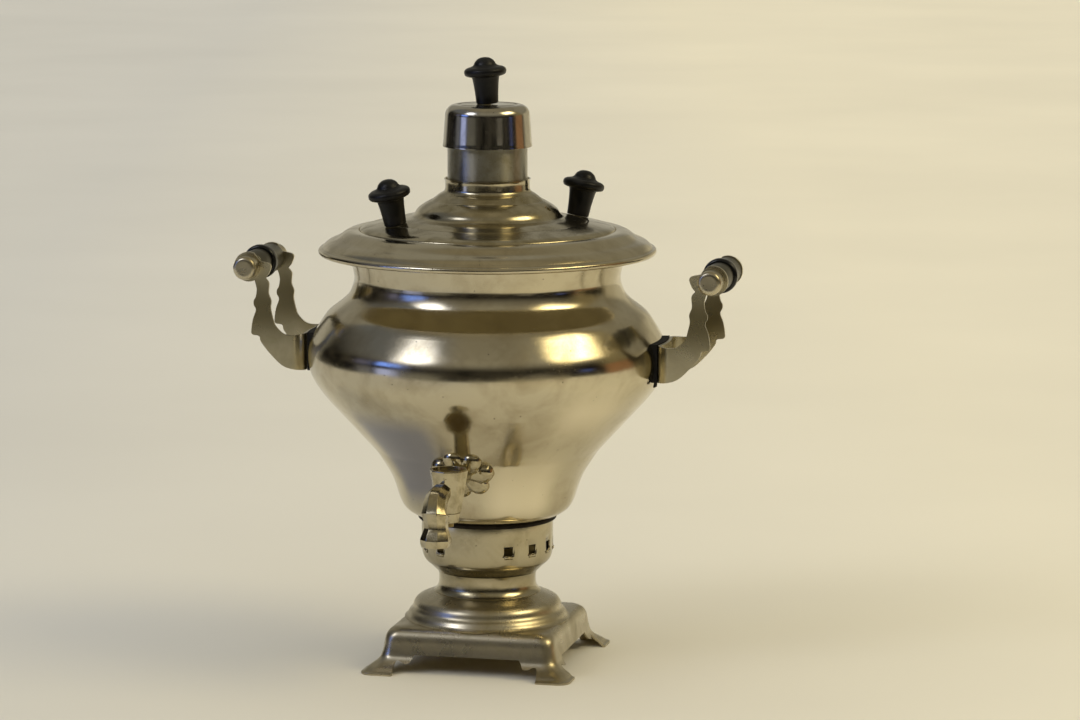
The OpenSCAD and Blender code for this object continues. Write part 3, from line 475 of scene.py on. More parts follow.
def makeMetal(name, m):
    material, add, inMm = newMaterial(name)
    split = add("SeparateXYZ", links={0: inMm})
    flat = add("CombineXYZ", links={0: split.outputs["X"], 1: split.outputs["Y"]})
    radius = add("VectorMath", {"operation": "LENGTH"}, {0: flat})
    profile = add("CombineXYZ", links={0: radius.outputs["Value"], 1: split.outputs["Z"]})
    rings = add("TexNoise", {"Scale": 1 / m["ringSpacing"], "Detail": 3.0, "Roughness": 0.65},
                {"Vector": profile})
    waves = add("TexNoise", {"Scale": 1 / m["waveSize"], "Detail": 1.5}, {"Vector": inMm})
    grain = add("TexNoise", {"Scale": 1 / m["grainSize"], "Detail": 2.0}, {"Vector": inMm})
    patches = add("TexNoise", {"Scale": 1 / m["patchSize"], "Detail": 6.0, "Roughness": 0.62,
                               "Distortion": 0.4}, {"Vector": inMm})
    stain = add("MapRange", {1: 0.44, 2: 0.72}, {0: patches})  # the tarnish's patches
    pits = add("TexVoronoi", {"Scale": 1 / m["pitSpacing"]}, {"Vector": inMm})
    # a pit is deepest over the inner part of its size
    pit = add("MapRange", {1: m["pitSize"] * 0.45, 2: m["pitSize"], 3: 1.0, 4: 0.0},
              {0: pits.outputs["Distance"]})
    scratch = None
    for turn in ((0.3, 0.9, 0.2), (1.1, -0.5, 2.2)):  # two sets of straight hairline scratches
        # noise drawn out to lines about 0.4 mm wide and 30 mm long
        lying = add("Mapping", {"Rotation": turn, "Scale": (2.6, 0.035, 0.2)}, {"Vector": inMm})
        hair = add("TexNoise", {"Scale": 1.0, "Detail": 1.0}, {"Vector": lying})
        thin = add("MapRange", {1: 0.7, 2: 0.78}, {0: hair})
        scratch = thin if scratch is None else add("Math", {"operation": "MAXIMUM"},
                                                   {0: scratch, 1: thin})

    height = None
    for source, depth in ((rings, m["ringDepth"]), (waves, m["waveDepth"]),
                          (grain, m["grainDepth"]), (pit, -m["pitDepth"]),
                          (scratch, -m["scratchDepth"])):
        layer = add("Math", {"operation": "MULTIPLY", 1: depth}, {0: source})
        height = layer if height is None else add("Math", {"operation": "ADD"},
                                                  {0: height, 1: layer})
    bump = add("Bump", {"Strength": 1.0, "Distance": mm}, {"Height": height})

    stained = add("Math", {"operation": "MULTIPLY", 1: m["tarnishAmount"]}, {0: stain})
    plate = add("Mix", {6: fromHex(m["colour"]), 7: fromHex(m["tarnish"])}, {0: stained})
    shape = add("NewGeometry")
    # soil lies in the pits, and the darkening where the sheet is concave is painted shade
    creaseShade = add("MapRange", {1: 0.40, 2: 0.485, 3: 0.75, 4: 0.0}, {0: shape.outputs["Pointiness"]})
    soilAndCreaseShade = add("Math", {"operation": "MAXIMUM"}, {0: creaseShade, 1: pit})
    soiledAndShaded = add("Mix", {7: fromHex(m["soilAndShade"])}, {0: soilAndCreaseShade, 6: plate.outputs[2]})
    cloudy = add("MapRange", {1: 0.0, 2: 1.0, 3: m["roughness"], 4: m["tarnishRoughness"]},
                 {0: stain})
    raised = add("MapRange", {1: 0.42, 2: 0.62, 3: 0.0, 4: m["haze"]}, {0: grain})
    hazy = add("Math", {"operation": "ADD"}, {0: cloudy, 1: raised})
    # soil and the painted shade in creases are rougher than any plate
    rough = add("Math", {"operation": "MULTIPLY_ADD", 1: 0.25}, {0: soilAndCreaseShade, 2: hazy})
    colour = soiledAndShaded.outputs[2]  # the tints go over it, by direction and height
    toFront = add("Math", {"operation": "MULTIPLY", 1: -1.0}, {0: split.outputs["Y"]})
    azimuth = add("Math", {"operation": "ARCTAN2"}, {0: split.outputs["X"], 1: toFront})
    angle = add("Math", {"operation": "MULTIPLY", 1: 180 / math.pi}, {0: azimuth})
    for middle, half, level, tall, soft, tint in m["spots"]:
        mask = softWindow(add, [(angle, middle, half, soft),
                                (split.outputs["Z"], level, tall, soft)])
        layer = add("Mix", {7: fromHex(tint)}, {0: mask, 6: colour})
        colour = layer.outputs[2]
    settings, links = {"Metallic": 1.0}, {"Base Color": colour, "Roughness": rough, "Normal": bump}
    if m["turned"]:
        settings.update({"Anisotropic": m["turned"], "Anisotropic Rotation": 0.25})  # quarter turn
        links["Tangent"] = add("Tangent", {"direction_type": "RADIAL", "axis": "Z"})
    metal = add("BsdfPrincipled", settings, links)
    # painted reflection: a surface met only at the second mirroring glows with a flat tone instead
    # of mirroring the room again
    lightPath = add("LightPath")
    deep = add("Math", {"operation": "GREATER_THAN", 1: 1.5},
               {0: lightPath.outputs["Glossy Depth"]})
    paintedReflection = add("Emission", {0: fromHex(m["depth"])})
    whole = add("MixShader", {}, {0: deep, 1: metal, 2: paintedReflection})
    add("OutputMaterial", {}, {0: whole})
    return material


knobPlastic = {  # phenolic, moulded: black with a satin skin that handling has greyed
    "colour": "#080807", "worn": "#1b1a18", "roughness": 0.36, "wornRoughness": 0.5, "shine": 0.3,
    "grainSize": 0.6, "grainDepth": 0.006, "patchSize": 5,
}
discPlastic = dict(knobPlastic, roughness=0.2, wornRoughness=0.32, grainDepth=0.002, shine=0.4)
padRubber = dict(knobPlastic, colour="#0b0b0b", worn="#232220", roughness=0.7, wornRoughness=0.85,
                 grainDepth=0.02)
fibreWasher = dict(knobPlastic, colour="#3d2c20", worn="#5a4634", roughness=0.8, wornRoughness=0.9,
                   grainDepth=0.03)


def makePlastic(name, p):
    material, add, inMm = newMaterial(name)
    grain = add("TexNoise", {"Scale": 1 / p["grainSize"], "Detail": 3.0}, {"Vector": inMm})
    patches = add("TexNoise", {"Scale": 1 / p["patchSize"], "Detail": 5.0}, {"Vector": inMm})
    handled = add("MapRange", {1: 0.42, 2: 0.7}, {0: patches})
    shape = add("NewGeometry")
    # edges are handled most
    edge = add("MapRange", {1: 0.52, 2: 0.62, 3: 0.0, 4: 0.8}, {0: shape.outputs["Pointiness"]})
    wear = add("Math", {"operation": "MAXIMUM"}, {0: handled, 1: edge})
    skin = add("Mix", {6: fromHex(p["colour"]), 7: fromHex(p["worn"])}, {0: wear})
    rough = add("MapRange", {1: 0.0, 2: 1.0, 3: p["roughness"], 4: p["wornRoughness"]}, {0: wear})
    height = add("Math", {"operation": "MULTIPLY", 1: p["grainDepth"]}, {0: grain})
    bump = add("Bump", {"Strength": 1.0, "Distance": mm}, {"Height": height})
    body = add("BsdfPrincipled", {"Specular IOR Level": p["shine"]},
               {"Base Color": skin.outputs[2], "Roughness": rough, "Normal": bump})
    add("OutputMaterial", {}, {0: body})
    return material


nickel = makeMetal("buffedNickelPlate", nickelPlate)
bowlNickel = makeMetal("bowlNickelWithPaintedLight", vesselNickel)
footNickel = makeMetal("lowerDarkerNickelPlate", standNickel)
stripNickel = makeMetal("stampedNickelStrip", bracketNickel)
brightNickel = makeMetal("brightNickelPlate", capNickel)
tapNickel = makeMetal("platedCastBrass", castNickel)
dull = makeMetal("wornNickelPlate", dullNickel)
lidPlate = makeMetal("wipedNickelPlate", lidNickel)
greySteel = makeMetal("darkGreySteel", gripSteel)
brass = makeMetal("brownedBrass", brownBrass)
steel = makeMetal("etchedSteelTube", chimneySteel)
iron = makeMetal("burntIronAndGapShade", burntIron)
black = makePlastic("mouldedPhenolic", knobPlastic)
glossBlack = makePlastic("turnedPhenolic", discPlastic)
rubber = makePlastic("matteRubber", padRubber)
fibre = makePlastic("vulcanisedFibre", fibreWasher)
print("finishes made")

vesselPlan = {  # two spun sheets, bowl and neck, as (radius, height) points from below
    "sheet": 0.8, "turns": 240, "spacing": 1.2, "insideSpacing": 3,
    "bowl": [(26.5, 62.2), (29.3, 62.2), (30.6, 62.6), (33.4, 64.3), (34.9, 65.9), (36, 67.8),
             (37, 70.4), (38.1, 74), (39.8, 78.5), (42.1, 82.7), (46.4, 89.3)],
    "cone": [(46.4, 89.3), (66.3, 111.1)],
    "belly": [(66.3, 111.1), (69.3, 114.9), (71.5, 118.1), (73, 121), (74, 124), (74.45, 127.5),
              (74.3, 131.6), (73.5, 134.8), (72, 137.8), (70.2, 140.8), (68.2, 143.9)],
    "neck": [(68.2, 143.9), (66.6, 146.2), (64.5, 148.1), (60.4, 151.2), (57.3, 154.4),
             (55.6, 158.4), (55.1, 161.5), (55.8, 165.4), (56.9, 169.8)],
    "neckTop": 173.9,
    # how far the sheet wanders inwards from a true round, over what distance, and how many rows
    # of points at its edges stay nearly true
    "wobble": 0.12, "wobbleSize": 34, "trueRows": 5,
    # dents: degrees from the front, height, half width, half height, depth
    "dents": [(25.0, 93.5, 2.4, 5.0, 0.42), (24.0, 97.5, 1.6, 2.6, 0.2), (52, 108, 3.5, 3, 0.12),
              (-38, 118, 5, 3, 0.1), (150, 104, 6, 4, 0.3), (-120, 112, 4, 5, 0.25)],
}


def wanderInwards(bm, lines, p, dents):
    bm.verts.ensure_lookup_table()
    for i in range(lines):
        fade = min(1, i / p["trueRows"], (lines - 1 - i) / p["trueRows"])
        for k in range(p["turns"]):
            v = bm.verts[i * p["turns"] + k]
            x, y, z = v.co / mm
            r = math.hypot(x, y)
            soft = noise.noise(Vector((x, y, z)) / p["wobbleSize"])
            # a finer and weaker wander over the first, from another part of the noise
            fine = noise.noise(Vector((x, y, z + 300)) / p["wobbleSize"] * 2.7)
            push = p["wobble"] * (0.5 + 0.5 * soft) + p["wobble"] * 0.3 * (0.5 + 0.5 * fine)
            angle = math.degrees(math.atan2(x, -y))
            for middle, level, wide, tall, depth in dents:
                away = math.radians((angle - middle + 180) % 360 - 180) * r / wide
                up = (z - level) / tall
                push += depth * math.exp(-away * away - up * up)
            v.co.x -= x / r * push * fade * mm
            v.co.y -= y / r * push * fade * mm


def makeVessel(p):
    bowl = evenLine(curveThrough(p["bowl"], 6), p["spacing"])
    bowl += evenLine(p["cone"], p["spacing"])[1:]
    bowl += evenLine(curveThrough(p["belly"], 6), p["spacing"])[1:]
    neck = evenLine(curveThrough(p["neck"], 6) + [(p["neck"][-1][0], p["neckTop"])], p["spacing"])
    for name, outside, dents, finish, node in (
            ("vesselBowl", bowl, p["dents"], bowlNickel, "vessel"),
            ("vesselNeck", neck, [], nickel, "vessel_neck")):
        inside = evenLine(moveSideways(outside, p["sheet"]), p["insideSpacing"])[::-1]
        bm = spinLine(outside + inside, p["turns"], closed=True)
        wanderInwards(bm, len(outside), p, dents)
        place(makeObject(name, bm), finish, "samovar", "nickel", node)


makeVessel(vesselPlan)

brimPlan = {  # a spun plate; its edge is rolled round a wire: centre and radius of the roll
    "roll": ((68.6, 172.2), 1.3),
    "top": [(68.4, 173.5), (67.3, 174.9), (65.7, 176.1), (63.9, 176.9), (62.4, 177.5), (61, 178.4),
            (59.2, 179.7), (57.4, 180.6), (55.4, 181), (53.2, 181)],
    "ledge": [(53.2, 180), (49.5, 180), (49.5, 173), (50.3, 173), (50.3, 179.2), (54, 179.2)],
    "under": [(57, 179.4), (59.4, 178.2), (62.7, 176.4), (65.5, 174.8), (67.2, 173.2)],
    "turns": 240,
}


def makeBrim(p):
    centre, radius = p["roll"]
    line = (arcLine(centre, radius, 165, 430, 22) + evenLine(curveThrough(p["top"], 6), 0.9)
            + p["ledge"] + p["under"])
    bm = spinLine(line, p["turns"], closed=True)
    place(makeObject("brimSheet", bm, 50), nickel, "samovar", "nickel", "brim")


makeBrim(brimPlan)

lidPlan = {  # (radius, height) points from the skirt inside the brim up to the collar
    "skirt": [(48.4, 176), (49.2, 176), (49.2, 180), (52.9, 180), (52.9, 180.9)],
    "flange": [(52.6, 181.3), (50.4, 182.4), (46.4, 183.4), (43.2, 184.1), (41.6, 184.4)],
    "valley": [(41.2, 184.2), (40.2, 184.5), (36.5, 185.6), (33.2, 186.2), (31.4, 186.6)],
    "shoulder": [(30.7, 187), (30, 187.8), (29.2, 189.1), (27.9, 190.4), (25.6, 191.9),
                 (23.6, 193)],
    "slope": [(23.1, 193.1), (22.5, 193.6), (21.6, 194.3), (19.8, 195.7), (18.4, 196.5),
              (17.7, 197.2)],
    "collar": [(17.5, 198), (17.45, 199.6), (17.5, 201.2), (17.8, 202.2)],
    "inside": [(17.2, 202.2), (16.9, 201), (16.9, 196.8), (18, 195.7), (21.2, 193.7),
               (25.2, 191), (27.4, 189.6), (28.6, 187.8), (29.8, 186.5), (32, 185.6), (36, 184.8),
               (41, 183.6), (46, 182.6), (48.4, 181.6)],
    "turns": 240,
    "steamHole": (78, 27.3, 2.6),  # degrees from the front, distance from the axis, diameter
    "drill": (180, 200),  # heights between which the drill cuts
    "rimWave": 0.12, "rimFrom": 201,  # above this height the collar's edge isn't quite level
}


def makeLid(p):
    line = list(p["skirt"])
    for part in ("flange", "valley", "shoulder", "slope", "collar"):
        line += evenLine(curveThrough(p[part], 6), 0.5)
    bm = spinLine(line + p["inside"], p["turns"], closed=True)
    for v in bm.verts:
        if v.co.z > p["rimFrom"] * mm:
            angle = math.atan2(v.co.y, v.co.x)
            v.co.z -= p["rimWave"] * (1 + math.sin(3 * angle + 1) * math.sin(5 * angle)) * mm
    lid = makeObject("lidSheet", bm, 40)
    angle, distance, hole = p["steamHole"]
    turn = math.radians(angle - 90)
    middle = (distance * math.cos(turn), distance * math.sin(turn))
    drill = makePrism(roundLine(middle, hole / 2, 32), *p["drill"])
    cutWith(lid, makeObject("drill", drill), sharpAngle=40)
    place(lid, lidPlate, "lid", "nickel", "lid")


makeLid(lidPlan)

capPlan = {  # a drawn cup turned upside down over the chimney
    "bottom": 215.4, "top": 232.6, "radius": 18.3, "topRadius": 17.5, "sheet": 0.8,
    "shoulder": (4.3, 4.6),  # width and height of the rounding over
    "lip": 0.2, "turns": 192, "screwHole": 1.6,
    # radius and depth of a shallow groove round the top, from outside to inside
    "groove": [(12.8, 0), (12.4, 0.2), (11.9, 0.3), (11.4, 0.2), (11, 0), (6, 0)],
}


def makeCap(p):
    r, up, low, high = p["radius"], p["topRadius"], p["bottom"], p["top"]
    wide, tall = p["shoulder"]

    def rounding(scale, angles):
        return [(up - wide + wide * scale * math.cos(a), high - tall + tall * scale * math.sin(a))
                for a in angles]

    quarter = [math.pi / 2 * k / 14 for k in range(15)]
    thinner = 1 - p["sheet"] / wide
    lip, hole, groove = r + p["lip"], p["screwHole"], p["groove"]
    # the cup's edge is turned out by a hair, then its side leans in to the shoulder
    line = ([(r - p["sheet"], low), (lip, low), (lip, low + 0.5), (r, low + 1.2)]
            + evenLine([(r - 0.06, low + 2), (up + 0.03, high - tall - 0.4)], 1.5)
            + rounding(1, quarter) + [(x, high - depth) for x, depth in groove]
            + [(hole, high), (hole, high - p["sheet"]), (groove[-2][0], high - p["sheet"])]
            + rounding(thinner, quarter[::-1]))
    bm = spinLine(line, p["turns"], closed=True)
    place(makeObject("chimneyCap", bm, 50), brightNickel, "cap", "nickel", "chimney_cap")


makeCap(capPlan)

knobPlan = {  # moulded: a waisted foot, a brim and a button; heights from the knob's own foot
    "line": [(0, 0), (4.1, 0), (4.55, 0.35), (4.65, 1.9), (4.8, 4.2), (5.1, 7.4), (5.5, 10.2),
             (5.75, 11)],
    "brim": [(6.4, 11.15), (7.7, 11.5), (8.5, 12.2), (8.7, 13.2), (8.4, 14.2), (7.3, 14.95),
             (5.9, 15.3), (4.9, 15.8)],
    "button": [(4.5, 16.3), (4.1, 17.1), (3.2, 18.1), (1.8, 18.85), (0, 19.1)],
    "turns": 96,
    "lidCircle": 41, "lidSeat": 184.8, "lidTurn": 37, "lidLean": 12, "pressed": 0.1,
    "capSeat": 232.6, "capTurn": 14, "capLean": 4, "footRadius": 4.55,
}


def makeKnobs(p):
    def newKnob(name, matrix):
        line = (p["line"][:4] + curveThrough(p["line"][3:], 4)[1:] + curveThrough(p["brim"], 4)
                + curveThrough(p["button"], 4))
        return makeObject(name, spinLine(line, p["turns"]), 40, matrix)

    for side, name in ((-1, "left"), (1, "right")):
        seat = (turnBy(p["lidTurn"], "Z") @ moveBy(side * p["lidCircle"], 0, p["lidSeat"])
                @ turnBy(side * p["lidLean"], "Y") @ moveBy(0, 0, -p["pressed"]))
        place(newKnob(name + "LidKnob", seat), black, "lid", "knob_plastic", name + "_lid_knob")
    foot = p["footRadius"]  # the knob leans on the edge of its foot
    seat = (moveBy(0, 0, p["capSeat"]) @ turnBy(p["capTurn"], "Z") @ moveBy(-foot, 0, 0)
            @ turnBy(-p["capLean"], "Y") @ moveBy(foot, 0, 0))
    place(newKnob("capKnob", seat), black, "cap", "knob_plastic", "cap_knob")


makeKnobs(knobPlan)
print("vessel, brim, lid, cap and knobs made")

standPlan = {  # vent ring, neck and dome of the stand, as (radius, height) points
    "sheet": 0.8, "turns": 192,
    "neck": [(22.3, 29.4), (21.3, 30.4), (20.5, 32), (20.2, 34.2), (20.25, 36.4), (20.7, 38)],
    "dome": [(34.6, 18.25), (33.9, 18.7), (33.3, 19.4), (32.9, 20.3), (32.3, 21.2), (31.6, 21.9),
             (31.1, 22.8), (30.8, 23.9), (30.3, 25), (29.3, 26.1), (27.6, 27), (25.4, 27.9),
             (23.4, 28.8), (21.8, 29.4)],
    "ring": [(20.9, 38.1), (23.4, 40.6), (25.6, 42.5), (26.7, 44.3), (27.2, 46.2), (27.4, 48.2)],
    "ringEdge": [(0, 55.5), (0, 60.8), (-0.15, 61.4)],
    # square draught holes: size, height, degrees from the front
    "holeSize": 4, "holeHeight": 50.2, "holeStart": 32, "holeStep": 24,
    # the lip: how far out, share of the hole's half width, how far below the hole
    "lip": [(-0.1, 0.9, 1.3), (0.315, 0.8, 0.8), (0.45, 0.9, 0.3), (-0.1, 0.95, 0)],
    "columnWidth": 2.2,  # degrees
    "sootGap": 0.04,
}


def makeStandRounds(p):
    for name, line, node, finish, slotName in (
            ("standNeck", p["neck"], "stand_neck", footNickel, "nickel"),
            ("standDome", p["dome"], "stand_dome", dull, "dull_nickel")):
        outside = evenLine(curveThrough(line, 6), 0.5)
        inside = moveSideways(outside, p["sheet"])[::-1]
        piece = makeObject(name, spinLine(outside + inside, p["turns"], closed=True), 50)
        place(piece, finish, "samovar", slotName, node)


def makeVentRing(p):
    outerRadius = p["ring"][-1][0]
    half = math.asin(p["holeSize"] / 2 / outerRadius)
    middles = sorted((side * (p["holeStart"] + i * p["holeStep"]) + back - 90) % 360
                     for side in (-1, 1) for i in range(3) for back in (0, 180))
    angles, holes = [], set()
    for i, middle in enumerate(middles):
        start, end = math.radians(middle) - half, math.radians(middle) + half
        holes.add(len(angles))
        angles += [start]
        following = math.radians(middles[(i + 1) % len(middles)]) - half
        following += 2 * math.pi if following < end else 0
        steps = max(2, round((following - end) / math.radians(p["columnWidth"])))
        angles += [mix(end, following, k / steps) for k in range(steps)]
    low, high = p["holeHeight"] - p["holeSize"] / 2, p["holeHeight"] + p["holeSize"] / 2
    line = evenLine(curveThrough(p["ring"], 6), 0.7)[:-1]
    first = len(line)
    line += [(outerRadius, low), (outerRadius, high)]
    line += [(outerRadius + out, z) for out, z in p["ringEdge"]]
    bm = spinLine(line, angles, gaps={first: holes})
    wide = p["holeSize"] / 2
    for middle in middles:  # the punch has pushed a small lip out under each hole
        turn = turnBy(middle, "Z")
        rows = [[(outerRadius + out, side * wide * share, low - depth)
                 for out, share, depth in p["lip"]] for side in (-1, 1)]
        rings = [[bm.verts.new(turn @ (Vector(c) * mm)) for c in row] for row in rows]
        for k in range(len(p["lip"]) - 1):
            bm.faces.new((rings[0][k], rings[1][k], rings[1][k + 1], rings[0][k + 1]))
    ring = makeObject("ventRing", bm, 50)
    sheet = ring.modifiers.new("sheetMetal", "SOLIDIFY")
    sheet.thickness, sheet.offset, sheet.use_even_offset = p["sheet"] * mm, -1, True
    place(ring, footNickel, "samovar", "nickel", "vent_ring")
    soot = [(r - p["sheet"] - p["sootGap"], z) for r, z in line]
    soot = spinLine(soot, angles, gaps={first: holes})
    place(makeObject("sootFilm", soot), iron, "samovar", "grate_iron")


makeStandRounds(standPlan)
makeVentRing(standPlan)

basePlan = {  # a square stamped plate on four toes
    "corner": 5, "sheet": 0.8, "hole": 31.2,
    # half side and height of the outline, from the toes up to the plate
    "line": [(44, 0), (44, 0.9), (43, 1.2), (41.6, 2.6), (39.4, 4.2), (37.6, 6.2), (36.9, 8),
             (36.3, 11), (35.9, 13.5), (35.3, 15.6), (34.2, 17.2), (32.6, 18.2)],
    "under": [(42.7, 0), (42.5, 0.35), (41.1, 1.8), (38.8, 3.6), (36.9, 5.8), (36.1, 8), (35.5, 11),
              (35.1, 13.3), (34.5, 15.1), (33.5, 16.5), (32.2, 17.4)],
    "toe": 30.4, "apron": 22.1, "apronHeight": 8,
    # the scroll between toe and apron: share of the way in, height
    "scroll": [(0, 1.5), (0.3 / 8.3, 4.2), (0.12, 5.4), (0.24, 5.5), (0.36, 5.1), (0.5, 4.6),
               (0.66, 4.5), (0.8, 5), (0.88, 6.2)],
    "perSide": 56, "flatShare": 0.82,  # of a side's points, how many lie on its flat part
}


def roundedSquare(half, corner, p):
    # points of a square with rounded corners, one for each of the same set of directions
    points = []
    flat, edge = half - corner, p["flatShare"]
    for side in range(4):
        for k in range(p["perSide"]):
            share = -1 + 2 * k / p["perSide"]
            if abs(share) <= edge:
                x, y = half, share / edge * flat
            else:
                a = math.radians((abs(share) - edge) / (1 - edge) * 45)
                x, y = flat + corner * math.cos(a), flat + corner * math.sin(a)
                y = math.copysign(y, share)
            for _ in range(side):
                x, y = -y, x
            points.append((x, y))
    return points


def makeBase(p):
    outside = curveThrough(p["line"], 3)
    under = curveThrough(p["under"], 3)
    bm = bmesh.new()
    directions = [math.atan2(y, x) for x, y in roundedSquare(33, p["corner"], p)]

    def squareRings(line, corner):
        return [[addPoint(bm, x, y, z) for x, y in roundedSquare(half, corner, p)]
                for half, z in line]

    rings = squareRings(outside, p["corner"])
    for z in (outside[-1][1], outside[-1][1] - p["sheet"]):
        rings.append([addPoint(bm, p["hole"] * math.cos(a), p["hole"] * math.sin(a), z)
                      for a in directions])
    rings += squareRings(under[::-1], p["corner"] - p["sheet"])
    bridgeRows(bm, rings + rings[:1])
    bmesh.ops.recalc_face_normals(bm, faces=bm.faces)
    base = makeObject("standBase", bm, 40)

    toe = p["toe"]
    scroll = curveThrough([(mix(toe, p["apron"], share), z) for share, z in p["scroll"]]
                          + [(p["apron"], p["apronHeight"])], 4)
    window = [(toe, -2)] + scroll + [(-x, z) for x, z in scroll[::-1]] + [(-toe, -2)]
    for turn in (0, 90):  # one cut through front and back, one through both sides
        cutter = makePrism(window, -60, 60, turnBy(turn, "Z") @ turnBy(90, "X"))
        cutWith(base, makeObject("window", cutter), sharpAngle=40)
    addBevel(base, width=0.22, angle=50)
    place(base, dull, "samovar", "dull_nickel", "stand_base")


makeBase(basePlan)
print("stand made")

handlePlan = {  # a bracket stamped from strip and bent to a U, with the grip between its arms
    "web": 76, "webMiddle": 129.2, "webHeight": 16, "armGap": 34, "metal": 1.2,
    # the web is curved like the belly and the arms are bent from it
    "webRadius": 75.5, "bend": 5.5,
    "grip": (97.8, 164.5), "eye": 6.2, "bore": 5.02, "screwHole": 1.65, "screwGap": 14,
    # shares of the way from the web to the grip's axis
    "outer": [(0.28, -0.18), (0.56, -0.04), (0.76, 0.11), (0.8, 0.18), (0.94, 0.2), (0.95, 0.27),
              (0.92, 0.38), (0.86, 0.49), (0.9, 0.55), (0.9, 0.6), (0.86, 0.65), (0.84, 0.74),
              (0.88, 0.84)],
    "inner": [(0.67, 0.87), (0.6, 0.81), (0.61, 0.69), (0.56, 0.6), (0.57, 0.51), (0.52, 0.37),
              (0.47, 0.3), (0.33, 0.22), (0.15, 0.2)],
    "horn": [(0.8, 0.4), (1.3, 0.3), (1.5, 0.2), (1.56, -0.03), (1.38, -0.48)],  # in eye radii
    "eyeArc": 112,  # degrees either side of its outer point
    # where the cutting shapes begin and end: across, upwards, and outwards for the screws
    "across": 30, "upwards": (110, 185), "outwards": (70, 82), "behind": 4, "past": 12,
}


def bracketOutline(p):
    gx, gz = p["grip"]

    def armAt(point):
        return (mix(p["web"], gx, point[0]), mix(p["webMiddle"], gz, point[1]))

    half = p["webHeight"] / 2
    back = p["web"] - p["behind"]  # behind the web, so that the plan view cuts it
    outer = curveThrough([(back, p["webMiddle"] - half)] + [armAt(q) for q in p["outer"]], 5)
    eye = arcLine((gx, gz), p["eye"], -p["eyeArc"], p["eyeArc"], 30)
    horn = [(gx - x * p["eye"], gz + y * p["eye"]) for x, y in p["horn"]]
    inner = curveThrough([armAt(q) for q in p["inner"]] + [(back, p["webMiddle"] + half)], 5)
    return outer + eye + curveThrough(horn, 3) + inner


def bracketPlan(p):
    middle, metal, bend = p["armGap"] / 2, p["metal"], p["bend"]
    far = p["grip"][0] + p["past"]  # past the eyes, where the side view cuts the arms
    edge = middle + metal / 2 - bend  # where the web ends and the bend begins
    start = math.degrees(math.asin(edge / p["webRadius"]))
    seat = (p["webRadius"] * math.cos(math.radians(start)) + bend, edge)

    def side(radius, bendRadius):
        web = [(radius * math.cos(math.radians(a)), radius * math.sin(math.radians(a)))
               for a in [start * k / 10 for k in range(10)]]
        return web + arcLine(seat, bendRadius, 180, 90, 8) + [(far, edge + bendRadius)]

    half = side(p["webRadius"], bend) + side(p["webRadius"] + metal, bend - metal)[::-1]
    return half + [(x, -y) for x, y in half[-2::-1]][:-1]


def makeBrackets(p):
    # the bracket is what its side view and its plan view have in common, then it is drilled
    across, upright = (-p["across"], p["across"]), turnBy(90, "X")
    side = makeObject("sideView", makePrism(bracketOutline(p), *across, upright))
    plan = makeObject("planView", makePrism(bracketPlan(p), *p["upwards"]))
    bracket = cutWith(plan, side, "INTERSECT")
    bore = makePrism(roundLine(p["grip"], p["bore"], 64), *across, upright)
    cutWith(bracket, makeObject("bore", bore))
    for y in (-1, 1):
        middle = (-p["webMiddle"], y * p["screwGap"] / 2)
        hole = makePrism(roundLine(middle, p["screwHole"], 32), *p["outwards"], turnBy(90, "Y"))
        cutWith(bracket, makeObject("hole", hole))
    bracket.name = "rightBracket"
    left = bracket.copy()
    left.name = "leftBracket"
    left.data = bracket.data.copy()
    bpy.context.scene.collection.objects.link(left)
    left.data.transform(Matrix.Scale(-1, 4, (1, 0, 0)))
    left.data.flip_normals()
    for piece, node in ((left, "left_handle_bracket"), (bracket, "right_handle_bracket")):
        addBevel(piece, width=0.22, angle=40)
        place(piece, stripNickel, "samovar", "nickel", node)


padPlan = {  # a rubber pad between each bracket and the vessel, curved like the belly
    "low": 121.3, "high": 137.1, "halfAngle": 10.4,  # degrees either side of the handle
    "outer": {-1: 75.1, 1: 75.48}, "sunk": 0.25, "rows": 14, "columns": 20,
    # a torn end hangs under the right pad
    "tabAngle": -9.6, "tabWidth": 0.7,
    "tab": [(74.2, 121.6), (75.1, 121.6), (74.9, 119.6), (74.1, 119.2), (73.7, 119.5)],
}


def makePads(p, v):
    profile = curveThrough(v["belly"], 6)

    def bellyAt(z):
        below, above = next((a, b) for a, b in zip(profile, profile[1:]) if a[1] <= z <= b[1])
        return mix(below[0], above[0], (z - below[1]) / (above[1] - below[1])) - p["sunk"]

    for side, name in ((-1, "left"), (1, "right")):
        bm = bmesh.new()
        angles = [math.radians(mix(-p["halfAngle"], p["halfAngle"], k / p["columns"]))
                  for k in range(p["columns"] + 1)]
        levels = [mix(p["low"], p["high"], i / p["rows"]) for i in range(p["rows"] + 1)]
        skins = []
        for outside in (False, True):
            skins.append([])
            for z in levels:
                r = p["outer"][side] if outside else bellyAt(z)
                skins[-1].append([addPoint(bm, side * r * math.cos(a), r * math.sin(a), z)
                                  for a in angles])
        for grid in skins:
            bridgeRows(bm, grid, closed=False)
        inner, outer = skins
        rims = [(inner[0], outer[0]), (inner[-1], outer[-1]),
                ([row[0] for row in inner], [row[0] for row in outer]),
                ([row[-1] for row in inner], [row[-1] for row in outer])]
        for rim in rims:
            bridgeRows(bm, rim, closed=False)
        if side > 0:
            turn = turnBy(p["tabAngle"], "Z")
            ends = [[bm.verts.new(turn @ (Vector((x, y, z)) * mm)) for x, z in p["tab"]]
                    for y in (-p["tabWidth"], p["tabWidth"])]
            bm.faces.new(ends[0])
            bm.faces.new(ends[1][::-1])
            bridge(bm, *ends)
        bmesh.ops.recalc_face_normals(bm, faces=bm.faces)
        place(makeObject(name + "Pad", bm), rubber, "samovar", "pad_rubber", name + "_handle_pad")


